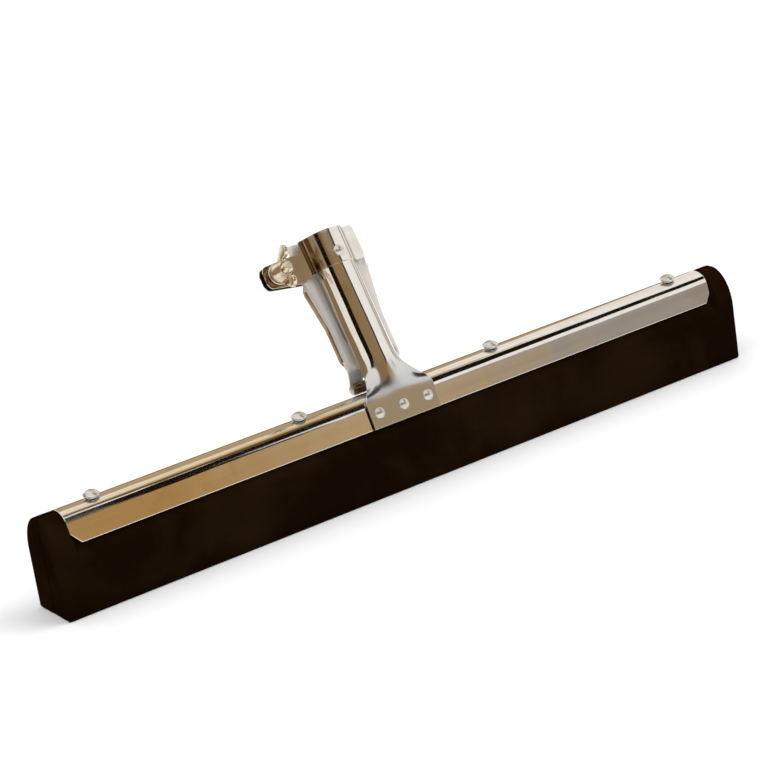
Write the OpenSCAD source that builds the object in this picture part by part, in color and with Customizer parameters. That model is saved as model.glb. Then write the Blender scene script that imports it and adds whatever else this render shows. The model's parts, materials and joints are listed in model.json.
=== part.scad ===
// Floor squeegee head: two foam strips in a pressed channel, with a hinged clamp socket for a handle.
// Origin on the floor at mid-length under the slit between the strips.
// +X runs to the right, +Y to the rear and +Z up.

/* [Foam blades] */
// Length of each foam strip
blade_len = 450; // [300:1:900]
// Thickness of one foam strip
blade_thick = 16; // [14:0.5:20]
// Height of the channel's lower edge above the floor
blade_reach = 38.4; // [30:0.2:60]
// Height of the foam's bare ends
free_top = 54.2; // [50:0.2:80]
// Height at which the bare ends begin to round over
shoulder = 33; // [24:0.5:36]
// Chamfer of the wiping edges
wipe_chamfer = 1; // [0.5:0.1:2]

/* [Channel] */
// Foam left bare at each end of the channel
bare_end = 11.7; // [5:0.1:20]
// Sheet thickness of the channel
channel_sheet = 1.2; // [0.8:0.1:1.6]
// Depth of each flange, measured down its slope
flange_len = 13.9; // [13:0.1:20]
// Angle of the flanges from upright
splay = 22; // [18:0.5:26]
// Width of the crown between its two bends
crown_w = 17; // [16:0.2:20]
// Rise of the crown above its bends
crown_rise = 3.1; // [2.4:0.1:4]
// Length of the cut corner along the flange's lower edge
corner_x = 5.2; // [3:0.1:12]
// Height of the cut corner
corner_z = 5.6; // [3:0.1:8]

/* [Retainer strip] */
// Width of the strip's flange under the crown
strip_w = 8; // [7.5:0.1:9]
// Thickness of the strip's flange and web
strip_sheet = 1.2; // [0.8:0.1:1.6]
// Depth of the web between the foam strips
web_depth = 22; // [12:1:30]

/* [Crown rivets] */
// Distance between neighbouring crown rivets
crown_rivet_pitch = 128; // [60:1:140]
// Least distance of a crown rivet from the channel's end
crown_rivet_end = 18; // [10:1:40]
// Diameter of a crown rivet's head
crown_head_d = 9; // [8:0.5:12]
// Height of a crown rivet's head
crown_head_h = 3; // [2:0.1:4]
// Diameter of a crown rivet's shank
crown_shank_d = 4; // [3:0.1:5]
// Outer diameter of the washer under the head
crown_washer_d = 7; // [6.4:0.2:8]
// Thickness of the washer under the head
crown_washer_h = 1; // [0.6:0.1:1.6]
// Diameter of the closed tail under the retainer strip
tail_d = 7; // [6:0.2:8]
// Height of the closed tail
tail_h = 1.2; // [0.8:0.1:2]

/* [Socket] */
// Socket's place along the channel, from mid-length
socket_x = -4.5; // [-60:0.5:60]
// Lean of the socket from upright
lean = 30; // [26:0.5:34]
// Diameter of the handle that the socket holds
handle_d = 22; // [20:0.1:24]
// Sheet thickness of both socket shells
shell_sheet = 0.9; // [0.7:0.1:1.2]
// Socket's mouth, measured up the slope from the flange's lower edge
socket_top = 112.7; // [105:0.1:140]
// Handle axis, behind the plane of the foot
axis_back = 9.4; // [8:0.1:11]
// Front shell's edges, ahead of the handle axis
front_setback = 1; // [0.8:0.1:1.5]
// Rear shell's flanges, behind the handle axis
rear_setback = 2; // [1.8:0.1:3]
// Width of the front shell's foot
foot_w = 44; // [40:0.5:50]
// Height of the foot's straight sides
foot_h = 16; // [15.5:0.1:18]
// Height at which the front shell has become a half tube
skirt_top = 40; // [36:0.5:46]
// Start of the rear shell's tapered nose, up the slope, where the handle ends
rear_nose_t = 58; // [56:0.5:62]
// Widening of the front shell's radius below the handle's end
shell_flare = 0.5; // [0.4:0.1:1]
// Height of the cone by which the front shell widens
flare_h = 3; // [2:0.5:6]
// Height of the rear shell's tapered nose
rear_nose_h = 15; // [12:0.5:16]
// Width across the rear shell's side flanges at the mouth
rear_w = 43; // [40:0.5:46]
// Width of the rear shell's leg
leg_w = 34; // [32:0.5:38]
// Height up to which the rear shell keeps its leg's width
waist_t = 62; // [56:0.5:70]
// Depth of the rear shell's turned side edges
turn_d = 4; // [2.5:0.5:5]

/* [Rear hinge] */
// Outer radius of the hinge knuckles
knuckle_r = 3.2; // [2.8:0.1:4]
// Diameter of the hinge pin
pin_d = 3.5; // [2.5:0.1:4]
// Pin's place above the crown's bend, up the rear flange's slope
pin_rise = 2.3; // [1.5:0.1:3.5]
// Length of the bracket's middle knuckle
mid_knuckle = 16; // [12:0.5:20]
// Width of the bracket's leaf
leaf_w = 36; // [34:0.5:50]
// Diameter of the pin's end heads
pin_head_d = 5; // [4.6:0.1:6]
// Thickness of the pin's end heads
pin_head_h = 1.2; // [0.8:0.1:2]

/* [Clamp] */
// Height of the collar bands
band_h = 20; // [18:0.5:24]
// Sheet thickness of the collar bands
band_sheet = 0.9; // [0.7:0.1:1.2]
// Reach of the collar's right tabs from the handle axis
tab_reach = 20; // [19.5:0.5:21]
// Reach of the ears from the handle axis
ear_reach = 43; // [39:0.5:50]
// Height of the ears at their tips
ear_tip_h = 12.5; // [11:0.5:14]
// Ears' upper root, below the socket's mouth
ear_high = 6; // [4:0.5:7]
// Ears' lower root, below the collar bands
ear_low = 3; // [1:0.5:5]
// Bolt's place, sideways from the handle axis
bolt_out = 34.5; // [27:0.5:36]
// Bolt's place below the socket's mouth
bolt_down = 13.5; // [12.5:0.5:14.5]
// Diameter of the clamp bolt
bolt_d = 6; // [5:0.1:6.4]
// Spare radius of the bolt's hole in the front ear
bolt_slack = 0.8; // [0.5:0.1:1]
// Diameter of the bolt's round head
bolt_head_d = 13; // [11:0.5:15]
// Height of the bolt's round head
bolt_head_h = 3.2; // [2.4:0.1:4]
// Length of bolt that stands out of the wing nut
bolt_proud = 3.5; // [2.5:0.5:8]
// Outer diameter of the flat washer
washer_d = 12.5; // [11:0.5:14]
// Thickness of the flat washer
washer_h = 1.2; // [0.8:0.1:1.8]
// Outer diameter of the spring washer
lock_d = 10.8; // [10:0.1:12]
// Thickness of the spring washer
lock_h = 1.6; // [1:0.1:2]
// Width of the cut through the spring washer
lock_cut = 1.2; // [0.8:0.1:2]
// Diameter of the wing nut's hub at its base
hub_d = 11.6; // [10.6:0.2:13]
// Height of the wing nut's hub
hub_h = 8.5; // [7:0.5:10]
// Narrowing of the hub's radius towards its top
hub_taper = 1.2; // [0.6:0.1:2]
// Reach of a wing's round tip from the nut's axis
wing_reach = 12; // [11:0.5:13.5]
// Radius of a wing's round tip
wing_tip_r = 3.5; // [3:0.5:4]
// Thickness of the wings
wing_t = 2.6; // [2:0.1:3.2]
// Turn of the wings at rest
wing_turn = 82; // [0:1:180]

/* [Sheet rivets] */
// Diameter of the dome heads on foot, bracket and collar
dome_d = 6; // [5:0.2:7]
// Height of those dome heads
dome_h = 2; // [1.4:0.1:2.6]
// Diameter of those rivets' shanks
dome_shank_d = 3; // [2.4:0.1:3.6]
// Distance between neighbouring foot rivets
foot_rivet_pitch = 16; // [12:0.5:17]
// Height of the foot rivets above the flange's lower edge, up the slope
foot_rivet_t = 8; // [6:0.5:10]
// Distance between neighbouring bracket rivets
leaf_rivet_pitch = 14; // [10:0.5:16]
// Height of the bracket rivets above the flange's lower edge, up the slope
leaf_rivet_t = 6; // [5:0.5:7]

/* [Fits] */
// Gap between pieces that are riveted or seated together
seat = 0.05; // [0.02:0.01:0.1]
// Radial clearance of a turning or sliding fit
running = 0.06; // [0.02:0.01:0.1]
// Clear space between pieces that move past each other
clear = 0.3; // [0.2:0.05:0.5]
// Clearance of the foam from the sheet round it
foam_gap = 0.3; // [0.2:0.05:0.5]

/* [Hidden] */
$fn = 48;
arc_fn = 96;
far = 400;
lap = 0.4;
tuck = 0.1;
past = 1;
channel_half = blade_len / 2 - bare_end;
edge_half = crown_w / 2 + flange_len * sin(splay);
bend_z = blade_reach + flange_len * cos(splay);
crown_top = bend_z + crown_rise;
crown_r = (crown_w * crown_w / 4 + crown_rise * crown_rise) / (2 * crown_rise);
crown_in_r = crown_r - channel_sheet;
sheet_y = channel_sheet / cos(splay);

slit = strip_sheet + 2 * seat;
blade_half = slit / 2 + blade_thick;
strip_top = crown_top - crown_r + sqrt(crown_in_r * crown_in_r - strip_w * strip_w / 4) - seat;
strip_inset = 2;
strip_half = channel_half - strip_inset;
notch_gap = 1;
foam_top = strip_top - strip_sheet - tail_h - foam_gap;
squeeze_h = 6;
round_steps = 8;
crown_pairs = 1 + floor((channel_half - crown_rivet_end - crown_rivet_pitch / 2) / crown_rivet_pitch);
crown_rivet_count = 2 * crown_pairs;
rivet_hole_r = dome_shank_d / 2 + seat;

bore_r = handle_d / 2;
tube_r = bore_r + shell_sheet;
band_in_r = tube_r + seat;
band_r = band_in_r + band_sheet;
band_t = socket_top - band_h;
foot_y = foot_h * sin(splay) - edge_half;
foot_z = blade_reach + foot_h * cos(splay);
front_edge = axis_back - front_setback;
rear_face = axis_back + rear_setback;
rear_back = rear_face + shell_sheet;
rear_ear = rear_back + seat;
nose_steps = 5;
nose_power = 1.25;
skirt_across = 16;
skirt_along = 10;

pin_t = flange_len + pin_rise;
pin_n = knuckle_r + clear;
pin_y = edge_half - pin_t * sin(splay) + pin_n * cos(splay);
pin_z = blade_reach + pin_t * cos(splay) + pin_n * sin(splay);
leg_y = pin_y + knuckle_r - shell_sheet;
leg_t = foot_h + (leg_y - foot_y - rear_face * cos(lean)) / sin(lean);
leg_z = foot_z + (leg_t - foot_h) * cos(lean) - rear_face * sin(lean);
leaf_h = pin_t - knuckle_r - 2 * clear;

bolt_t = socket_top - bolt_down;
ear_root_low = band_t - ear_low;
ear_root_high = socket_top - ear_high;
front_ear = front_edge - band_sheet;
washer_w = front_ear - clear;
lock_w = washer_w - washer_h - seat;
nut_w = lock_w - lock_h - 2 * seat;
bolt_end_w = nut_w - hub_h - bolt_proud;
neck = bolt_d;
ear_hole_r = bolt_d / 2 + bolt_slack;
wing_edge = 0.6;
wing_bite = 0.2;
wing_drop = 1;
wing_lean = 37;
rear_rivet_x = (tab_reach + tube_r) / 2;
turn_top = ear_root_low - 2 * clear;
turn_top_x = leg_w / 2 + (rear_w - leg_w) / 2 * (turn_top - waist_t) / (band_t - waist_t);

// Half-width of the channel's inner face at height z
function inner_half(z) = edge_half - (z - blade_reach) * tan(splay) - sheet_y;

// Places of a centred row of n things
function row(n, pitch) = [for (i = [0 : n - 1]) (i - (n - 1) / 2) * pitch];

// Radius of a nose that starts round at t = top and closes h below it
function nose_r(r, u) = r * cos(90 * pow(u, nose_power));

// Frame on the front flange: y to the rear across the sheet, z up the slope
module on_flange() {
    translate([socket_x, -edge_half, blade_reach])
        rotate([-splay, 0, 0])
            children();
}

// Leaning frame of the socket, which bends off the flange's frame at z = foot_h
module on_socket() {
    translate([socket_x, foot_y, foot_z])
        rotate([-lean, 0, 0])
            translate([0, 0, -foot_h])
                children();
}

// Frame on the rear flange: y outwards across the sheet, z up the slope
module on_rear() {
    translate([socket_x, edge_half, blade_reach])
        rotate([splay, 0, 0])
            children();
}

// Flat sheet with the outline of its children, from depth w to w + thick
module sheet_at(w, thick) {
    translate([0, w + thick, 0])
        rotate([90, 0, 0])
            linear_extrude(thick)
                children();
}

// Extrusion along X of an outline drawn in Y and Z, from x0 to x1
module along_x(x0, x1) {
    translate([x0, 0, 0])
        rotate([90, 0, 90])
            linear_extrude(x1 - x0)
                children();
}

module dome(d, h) {
    r = (d * d / 4 + h * h) / (2 * h);
    rotate_extrude()
        intersection() {
            translate([0, h - r]) circle(r);
            square([d / 2, h]);
        }
}

// Dome-head rivet: head above z = 0, shank below
module rivet(d, h, shank_d, shank_len) {
    dome(d, h);
    translate([0, 0, -shank_len]) cylinder(d = shank_d, h = shank_len + h / 2);
}

module ring(r_out, r_in, h) {
    difference() {
        cylinder(r = r_out, h = h);
        translate([0, 0, -h / 2]) cylinder(r = r_in, h = 2 * h);
    }
}

// Outline of the channel's outer face, filled, drawn in Y and Z
module channel_outer() {
    polygon([[-edge_half, blade_reach], [edge_half, blade_reach],
        [crown_w / 2, bend_z], [-crown_w / 2, bend_z]]);
    intersection() {
        translate([0, crown_top - crown_r]) circle(crown_r, $fn = arc_fn);
        translate([-crown_w / 2, bend_z - channel_sheet]) square([crown_w, far]);
    }
}

// Outline of the space inside the channel, drawn in Y and Z
module channel_inner() {
    top = bend_z - channel_sheet;
    low = blade_reach - past;
    polygon([[-inner_half(low), low], [inner_half(low), low],
        [inner_half(top), top], [-inner_half(top), top]]);
    intersection() {
        translate([0, crown_top - crown_r]) circle(crown_in_r, $fn = arc_fn);
        translate([-inner_half(top), top - channel_sheet]) square([2 * inner_half(top), far]);
    }
}

// Row of three holes across a sheet that lies near y = 0
module sheet_holes(pitch, t, r) {
    for (x = row(3, pitch))
        translate([x, 0, t])
            rotate([90, 0, 0]) cylinder(r = r, h = 6 * channel_sheet, center = true);
}

// Triangle that cuts the right-hand corner off both flanges, drawn in X and Z
module corner_cut() {
    out = channel_half + past;
    low = blade_reach - past;
    polygon([[out, low], [out, blade_reach + corner_z + past * corner_z / corner_x],
        [channel_half - corner_x - past * corner_x / corner_z, low]]);
}

module frame_channel() {
    color("silver")
        difference() {
            along_x(-channel_half, channel_half)
                difference() {
                    channel_outer();
                    channel_inner();
                }
            for (side = [0, 1])
                mirror([side, 0, 0])
                    rotate([90, 0, 0])
                        linear_extrude(far, center = true)
                            corner_cut();
            for (x = row(crown_rivet_count, crown_rivet_pitch))
                translate([x, 0, bend_z]) cylinder(d = crown_shank_d + 2 * seat, h = far);
            on_flange() sheet_holes(foot_rivet_pitch, foot_rivet_t, rivet_hole_r);
            on_rear() sheet_holes(leaf_rivet_pitch, leaf_rivet_t, rivet_hole_r);
        }
}

// Rear strip's section where the channel squeezes it, drawn in Y and Z
module squeezed_section() {
    lip = inner_half(blade_reach) - foam_gap / cos(splay);
    top = inner_half(foam_top) - foam_gap / cos(splay);
    polygon([[slit / 2, 0], [blade_half - wipe_chamfer, 0], [blade_half, wipe_chamfer],
        [blade_half, blade_reach - squeeze_h], [edge_half, blade_reach - 3 * foam_gap],
        [lip, blade_reach - foam_gap], [top, foam_top], [slit / 2, foam_top]]);
}

// Rear strip's section at its bare ends, where it swells freely and rounds over
module free_section() {
    last = acos(slit / 2 / blade_half);
    over = [for (i = [0 : round_steps]) let (a = last * i / round_steps)
        [blade_half * cos(a), shoulder + (free_top - shoulder) * sin(a)]];
    polygon(concat([[slit / 2, 0], [blade_half - wipe_chamfer, 0], [blade_half, wipe_chamfer]], over));
}

module foam_blade() {
    along_x(-blade_len / 2, blade_len / 2) squeezed_section();
    for (side = [0, 1])
        mirror([side, 0, 0])
            along_x(channel_half + foam_gap, blade_len / 2) free_section();
}

module front_foam_blade() {
    color([0.06, 0.045, 0.035]) mirror([0, 1, 0]) foam_blade();
}

module rear_foam_blade() {
    color([0.06, 0.045, 0.035]) foam_blade();
}

module retainer_strip() {
    under = strip_top - strip_sheet;
    notch_w = tail_d + 2 * notch_gap;
    notch_h = tail_h + notch_gap;
    color("gray")
        difference() {
            union() {
                translate([-strip_half, -strip_w / 2, under]) cube([2 * strip_half, strip_w, strip_sheet]);
                translate([-strip_half, -strip_sheet / 2, under - web_depth])
                    cube([2 * strip_half, strip_sheet, web_depth + strip_sheet / 2]);
            }
            for (x = row(crown_rivet_count, crown_rivet_pitch)) {
                translate([x, 0, under - past])
                    cylinder(d = crown_shank_d + 2 * seat, h = strip_sheet + 2 * past);
                translate([x - notch_w / 2, -strip_w, under - notch_h])
                    cube([notch_w, 2 * strip_w, notch_h]);
            }
        }
}

module crown_rivets() {
    head_z = crown_top + crown_washer_h + 2 * seat;
    tail_z = strip_top - strip_sheet - seat - tail_h;
    color("gainsboro")
        for (x = row(crown_rivet_count, crown_rivet_pitch)) {
            translate([x, 0, head_z]) rivet(crown_head_d, crown_head_h, crown_shank_d, head_z - tail_z);
            translate([x, 0, tail_z]) cylinder(d = tail_d, h = tail_h);
        }
}

module crown_rivet_washers() {
    color("dimgray")
        for (x = row(crown_rivet_count, crown_rivet_pitch))
            translate([x, 0, crown_top + seat])
                ring(crown_washer_d / 2, crown_shank_d / 2 + seat, crown_washer_h);
}

// Body of revolution round the handle axis with a tapered nose, up to the socket's mouth
module tube_body(r, nose_t, nose_h, top) {
    translate([0, axis_back, 0])
        rotate_extrude()
            polygon(concat([[0, top], [r, top]],
                [for (i = [0 : nose_steps - 1])
                    [nose_r(r, i / nose_steps), nose_t - nose_h * i / nose_steps]],
                [[0, nose_t - nose_h]]));
}

// Mix of a and b, from a at k = 0 to b at k = 1
function mix(a, b, k) = a + (b - a) * k;

// Point of the skirt's face, s from -1 to 1: flat at depth w when u = 0, a half round of radius r when u = 1
function skirt_point(s, u, w, r) =
    let (turn = s * acos(front_setback / r), draw = 1 - (1 - u) * (1 - u), fold = u * u * (3 - 2 * u))
    [mix(s * (foot_w / 2 - tuck), r * sin(turn), draw), mix(w, axis_back - r * cos(turn), fold),
        mix(foot_h - lap, skirt_top + lap, u)];

// Skirt between the flat foot and the half tube, one closed sheet whose ends are tucked into both
module skirt() {
    n = skirt_across;
    m = skirt_along;
    face = (n + 1) * (m + 1);
    grid = [for (j = [0 : m]) for (i = [0 : n]) [2 * i / n - 1, j / m]];
    outer = [for (g = grid) skirt_point(g[0], g[1], tuck - seat - shell_sheet, tube_r + shell_flare - tuck)];
    inner = [for (g = grid) skirt_point(g[0], g[1], -seat - tuck, bore_r + shell_flare + tuck)];
    function at(i, j) = j * (n + 1) + i;
    polyhedron(points = concat(outer, inner), faces = concat(
        [for (j = [0 : m - 1]) for (i = [0 : n - 1]) each
            [[at(i, j), at(i, j + 1), at(i + 1, j)], [at(i + 1, j), at(i, j + 1), at(i + 1, j + 1)]]],
        [for (j = [0 : m - 1]) for (i = [0 : n - 1]) each
            [[face + at(i, j), face + at(i + 1, j), face + at(i, j + 1)],
            [face + at(i + 1, j), face + at(i + 1, j + 1), face + at(i, j + 1)]]],
        [for (i = [0 : n - 1]) each
            [[at(i, 0), at(i + 1, 0), face + at(i, 0)], [at(i + 1, 0), face + at(i + 1, 0), face + at(i, 0)],
            [at(i, m), face + at(i, m), at(i + 1, m)],
            [at(i + 1, m), face + at(i, m), face + at(i + 1, m)]]],
        [for (j = [0 : m - 1]) each
            [[at(0, j), face + at(0, j), at(0, j + 1)], [face + at(0, j), face + at(0, j + 1), at(0, j + 1)],
            [at(n, j), at(n, j + 1), face + at(n, j)],
            [face + at(n, j), at(n, j + 1), face + at(n, j + 1)]]]));
}

// Front shell's half tube, which holds the handle and widens below its end
module front_tube() {
    wide_t = rear_nose_t - flare_h;
    intersection() {
        translate([0, axis_back, 0])
            rotate_extrude()
                polygon([[bore_r, socket_top], [tube_r, socket_top], [tube_r, rear_nose_t],
                    [tube_r + shell_flare, wide_t], [tube_r + shell_flare, skirt_top],
                    [bore_r + shell_flare, skirt_top], [bore_r + shell_flare, wide_t],
                    [bore_r, rear_nose_t]]);
        translate([-far / 2, front_edge - far, 0]) cube([far, far, far]);
    }
}

module front_shell() {
    color("silver")
        difference() {
            union() {
                on_flange()
                    translate([-foot_w / 2, -shell_sheet - seat, 0]) cube([foot_w, shell_sheet, foot_h]);
                on_socket() {
                    skirt();
                    front_tube();
                }
            }
            on_flange() sheet_holes(foot_rivet_pitch, foot_rivet_t, rivet_hole_r);
        }
}

module front_shell_rivets() {
    color("gainsboro")
        on_flange()
            for (x = row(3, foot_rivet_pitch))
                translate([x, -shell_sheet - 2 * seat, foot_rivet_t])
                    rotate([90, 0, 0])
                        rivet(dome_d, dome_h, dome_shank_d, shell_sheet + channel_sheet + seat);
}

module pin_axis() {
    translate([socket_x, pin_y, pin_z])
        rotate([0, 90, 0])
            children();
}

module hinge_bracket() {
    tab = mid_knuckle / 2 - clear;
    tab_h = pin_t - knuckle_r / 3;
    color("silver")
        difference() {
            union() {
                on_rear()
                    sheet_at(seat, shell_sheet)
                        polygon([[-leaf_w / 2, 0], [leaf_w / 2, 0], [leaf_w / 2, leaf_h], [tab, leaf_h],
                            [tab, tab_h], [-tab, tab_h], [-tab, leaf_h], [-leaf_w / 2, leaf_h]]);
                pin_axis() cylinder(r = knuckle_r, h = mid_knuckle, center = true);
            }
            pin_axis() cylinder(r = pin_d / 2 + seat, h = far, center = true);
            on_rear() sheet_holes(leaf_rivet_pitch, leaf_rivet_t, rivet_hole_r);
        }
}

module bracket_rivets() {
    color("gainsboro")
        on_rear()
            for (x = row(3, leaf_rivet_pitch))
                translate([x, shell_sheet + 2 * seat, leaf_rivet_t])
                    rotate([-90, 0, 0])
                        rivet(dome_d, dome_h, dome_shank_d, shell_sheet + channel_sheet + seat);
}

module hinge_pin() {
    half = leg_w / 2 + clear;
    color("gainsboro")
        pin_axis() {
            cylinder(d = pin_d, h = 2 * half, center = true);
            for (side = [0, 1])
                mirror([0, 0, side])
                    translate([0, 0, half]) cylinder(d = pin_head_d, h = pin_head_h);
        }
}

// Outline of one turned side edge of the rear shell, straight to the waist and then flaring with the plate
module turned_edge(side) {
    half = leg_w / 2;
    polygon([[side * half, leg_t], [side * half, waist_t], [side * turn_top_x, turn_top],
        [side * (turn_top_x - shell_sheet), turn_top], [side * (half - shell_sheet), waist_t],
        [side * (half - shell_sheet), leg_t]]);
}

module rear_shell() {
    half = leg_w / 2;
    gap = mid_knuckle / 2 + clear;
    color("silver")
        difference() {
            union() {
                on_socket() {
                    sheet_at(rear_face, shell_sheet)
                        polygon([[-half, leg_t], [half, leg_t], [half, waist_t], [rear_w / 2, band_t],
                            [rear_w / 2, ear_root_high], [tab_reach, socket_top], [-tab_reach, socket_top],
                            [-rear_w / 2, ear_root_high], [-rear_w / 2, band_t], [-half, waist_t]]);
                    intersection() {
                        tube_body(tube_r, rear_nose_t, rear_nose_h, socket_top);
                        translate([-far / 2, rear_face, 0]) cube([far, far, socket_top]);
                    }
                    sheet_at(rear_face, turn_d)
                        for (side = [-1, 1])
                            turned_edge(side);
                }
                translate([socket_x - half, leg_y, pin_z]) cube([leg_w, shell_sheet, leg_z - pin_z]);
                pin_axis() cylinder(r = knuckle_r, h = leg_w, center = true);
            }
            on_socket() tube_body(bore_r, rear_nose_t, rear_nose_h - 2 * shell_sheet, socket_top + past);
            pin_axis() cylinder(r = pin_d / 2 + running, h = far, center = true);
            translate([socket_x - gap, pin_y - far / 2, pin_z - far + knuckle_r + 2 * clear])
                cube([2 * gap, far, far]);
            on_socket() rear_band_holes(rivet_hole_r);
        }
}

// Ear outline at the left of the socket, from the band to the tip
module ear_outline(root) {
    polygon([[-root, band_t], [-root, ear_root_high], [-ear_reach, bolt_t + ear_tip_h / 2],
        [-ear_reach, bolt_t - ear_tip_h / 2], [-rear_w / 2, ear_root_low]]);
}

module half_band(front) {
    translate([0, axis_back, band_t])
        intersection() {
            ring(band_r, band_in_r, band_h);
            if (front)
                translate([-far / 2, -far - front_setback, 0]) cube([far, far, band_h]);
            else
                translate([-far / 2, rear_ear - axis_back, 0]) cube([far, far, band_h]);
        }
}

module front_clamp_band() {
    root = sqrt(band_in_r * band_in_r - front_setback * front_setback) + seat;
    color("silver")
        on_socket()
            difference() {
                union() {
                    half_band(true);
                    sheet_at(front_ear, band_sheet) {
                        ear_outline(root);
                        translate([root, band_t]) square([tab_reach - root, band_h]);
                    }
                }
                translate([-bolt_out, front_edge + past, bolt_t])
                    rotate([90, 0, 0]) cylinder(r = ear_hole_r, h = band_sheet + 2 * past);
                translate([0, axis_back, bolt_t])
                    rotate([90, 0, 0]) cylinder(r = rivet_hole_r, h = far);
            }
}

module front_band_rivet() {
    color("gainsboro")
        on_socket()
            translate([0, axis_back - band_r - seat, bolt_t])
                rotate([90, 0, 0]) rivet(dome_d, dome_h, dome_shank_d, band_sheet / 2);
}

module rear_band_holes(r) {
    for (side = [-1, 1])
        translate([side * rear_rivet_x, 0, bolt_t])
            rotate([90, 0, 0]) cylinder(r = r, h = far, center = true);
}

module rear_clamp_band() {
    depth = rear_ear - axis_back;
    root = sqrt(band_in_r * band_in_r - depth * depth);
    square_hole = neck + 2 * seat;
    color("silver")
        on_socket()
            difference() {
                union() {
                    half_band(false);
                    sheet_at(rear_ear, band_sheet) {
                        ear_outline(root);
                        translate([root, band_t]) square([tab_reach - root, band_h]);
                    }
                }
                translate([-bolt_out - square_hole / 2, rear_ear - past, bolt_t - square_hole / 2])
                    cube([square_hole, band_sheet + 2 * past, square_hole]);
                rear_band_holes(rivet_hole_r);
            }
}

module rear_band_rivets() {
    color("gainsboro")
        on_socket()
            for (side = [-1, 1])
                translate([side * rear_rivet_x, rear_ear + band_sheet + seat, bolt_t])
                    rotate([-90, 0, 0]) rivet(dome_d, dome_h, dome_shank_d, band_sheet + shell_sheet + seat);
}

// Frame on the bolt's axis at depth w: z points out of the front of the clamp
module on_bolt(w) {
    on_socket()
        translate([-bolt_out, w, bolt_t])
            rotate([90, 0, 0])
                children();
}

module clamp_bolt() {
    head_w = rear_ear + band_sheet + seat;
    color("gainsboro")
        on_bolt(head_w) {
            mirror([0, 0, 1]) dome(bolt_head_d, bolt_head_h);
            translate([-neck / 2, -neck / 2, -bolt_head_h / 4])
                cube([neck, neck, band_sheet + bolt_head_h / 4]);
            cylinder(d = bolt_d, h = head_w - bolt_end_w);
        }
}

module clamp_washer() {
    color("gainsboro")
        on_bolt(washer_w) ring(washer_d / 2, bolt_d / 2 + running, washer_h);
}

module lock_washer() {
    color("gray")
        on_bolt(lock_w)
            difference() {
                ring(lock_d / 2, bolt_d / 2 + running, lock_h);
                translate([0, -lock_cut / 2, -past]) cube([lock_d, lock_cut, lock_h + 2 * past]);
            }
}

module wing() {
    root = bolt_d / 2 + running + wing_bite;
    tip_x = wing_reach - wing_tip_r;
    tip_z = hub_h + wing_tip_r - wing_drop;
    out = wing_tip_r * cos(wing_lean);
    rise = wing_tip_r * sin(wing_lean);
    rotate([90, 0, 0])
        linear_extrude(wing_t, center = true) {
            polygon([[root, wing_edge], [hub_d / 2, wing_edge], [tip_x + out, tip_z - rise],
                [tip_x - out, tip_z + rise], [root, hub_h - wing_edge]]);
            translate([tip_x, tip_z]) circle(wing_tip_r);
        }
}

module wing_nut() {
    bore = bolt_d / 2 + running;
    color("gainsboro")
        on_bolt(nut_w)
            rotate(wing_turn) {
                rotate_extrude()
                    polygon([[bore, 0], [hub_d / 2, 0], [hub_d / 2, hub_h / 4],
                        [hub_d / 2 - hub_taper, hub_h], [bore, hub_h]]);
                for (side = [0, 180])
                    rotate(side) wing();
            }
}

frame_channel();
front_foam_blade();
rear_foam_blade();
retainer_strip();
crown_rivets();
crown_rivet_washers();
front_shell();
front_shell_rivets();
hinge_bracket();
bracket_rivets();
hinge_pin();
rear_shell();
front_clamp_band();
front_band_rivet();
rear_clamp_band();
rear_band_rivets();
clamp_bolt();
clamp_washer();
lock_washer();
wing_nut();
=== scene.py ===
"""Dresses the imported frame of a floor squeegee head: channel, foam strips, clamp socket and fasteners."""

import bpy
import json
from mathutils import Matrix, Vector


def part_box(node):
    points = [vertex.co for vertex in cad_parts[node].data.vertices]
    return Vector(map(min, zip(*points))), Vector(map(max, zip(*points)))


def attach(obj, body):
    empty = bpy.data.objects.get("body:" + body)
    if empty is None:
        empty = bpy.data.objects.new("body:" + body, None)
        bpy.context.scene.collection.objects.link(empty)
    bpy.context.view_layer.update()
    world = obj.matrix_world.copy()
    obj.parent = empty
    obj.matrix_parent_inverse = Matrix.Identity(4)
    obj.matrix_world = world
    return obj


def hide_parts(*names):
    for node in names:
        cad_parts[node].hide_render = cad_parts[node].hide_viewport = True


bl_info = {
    "name": "Floor squeegee head",
    "version": (1, 0, 0),
    "blender": (4, 5, 0),
    "location": "3D View > Sidebar > Squeegee",
    "description": "Models and finishes the visible pieces of a floor squeegee head around its CAD frame",
    "category": "Object",
}

import json
import math

import bmesh
import bpy
from bpy.props import FloatProperty, FloatVectorProperty, IntProperty, PointerProperty
from bpy.types import Operator, Panel, PropertyGroup
from mathutils import Matrix, Vector

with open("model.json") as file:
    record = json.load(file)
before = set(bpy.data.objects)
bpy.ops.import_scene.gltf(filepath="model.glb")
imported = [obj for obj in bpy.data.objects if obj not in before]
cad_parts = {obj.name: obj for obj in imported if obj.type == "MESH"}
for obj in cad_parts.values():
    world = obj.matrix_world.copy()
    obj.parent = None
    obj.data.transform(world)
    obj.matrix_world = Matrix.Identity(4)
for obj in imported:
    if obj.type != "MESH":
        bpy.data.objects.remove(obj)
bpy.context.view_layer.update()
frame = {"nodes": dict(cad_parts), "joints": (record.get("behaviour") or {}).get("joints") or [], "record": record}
MOUNTS = {mount["name"]: mount for mount in frame["record"]["mounts"]}
JOINTS = {joint["name"]: joint for joint in frame["joints"]}

MM = 0.001
RIGHT = Vector((1, 0, 0))
MERGE = 1e-6  # points nearer than this are one point
SHEET_EDGE = 0.2 * MM  # rounding of thin sheet's edges
LEAST_STEP = 0.4 * MM  # least distance between the rear shell's points beside its hinge gap
KNUCKLE_TURN = -285  # degrees that a knuckle is rolled about its pin


def length(name, description, mm):
    """Length property with its default given in millimetres."""
    return FloatProperty(
        name=name, description=description, default=mm * MM, subtype="DISTANCE", unit="LENGTH"
    )


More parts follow.
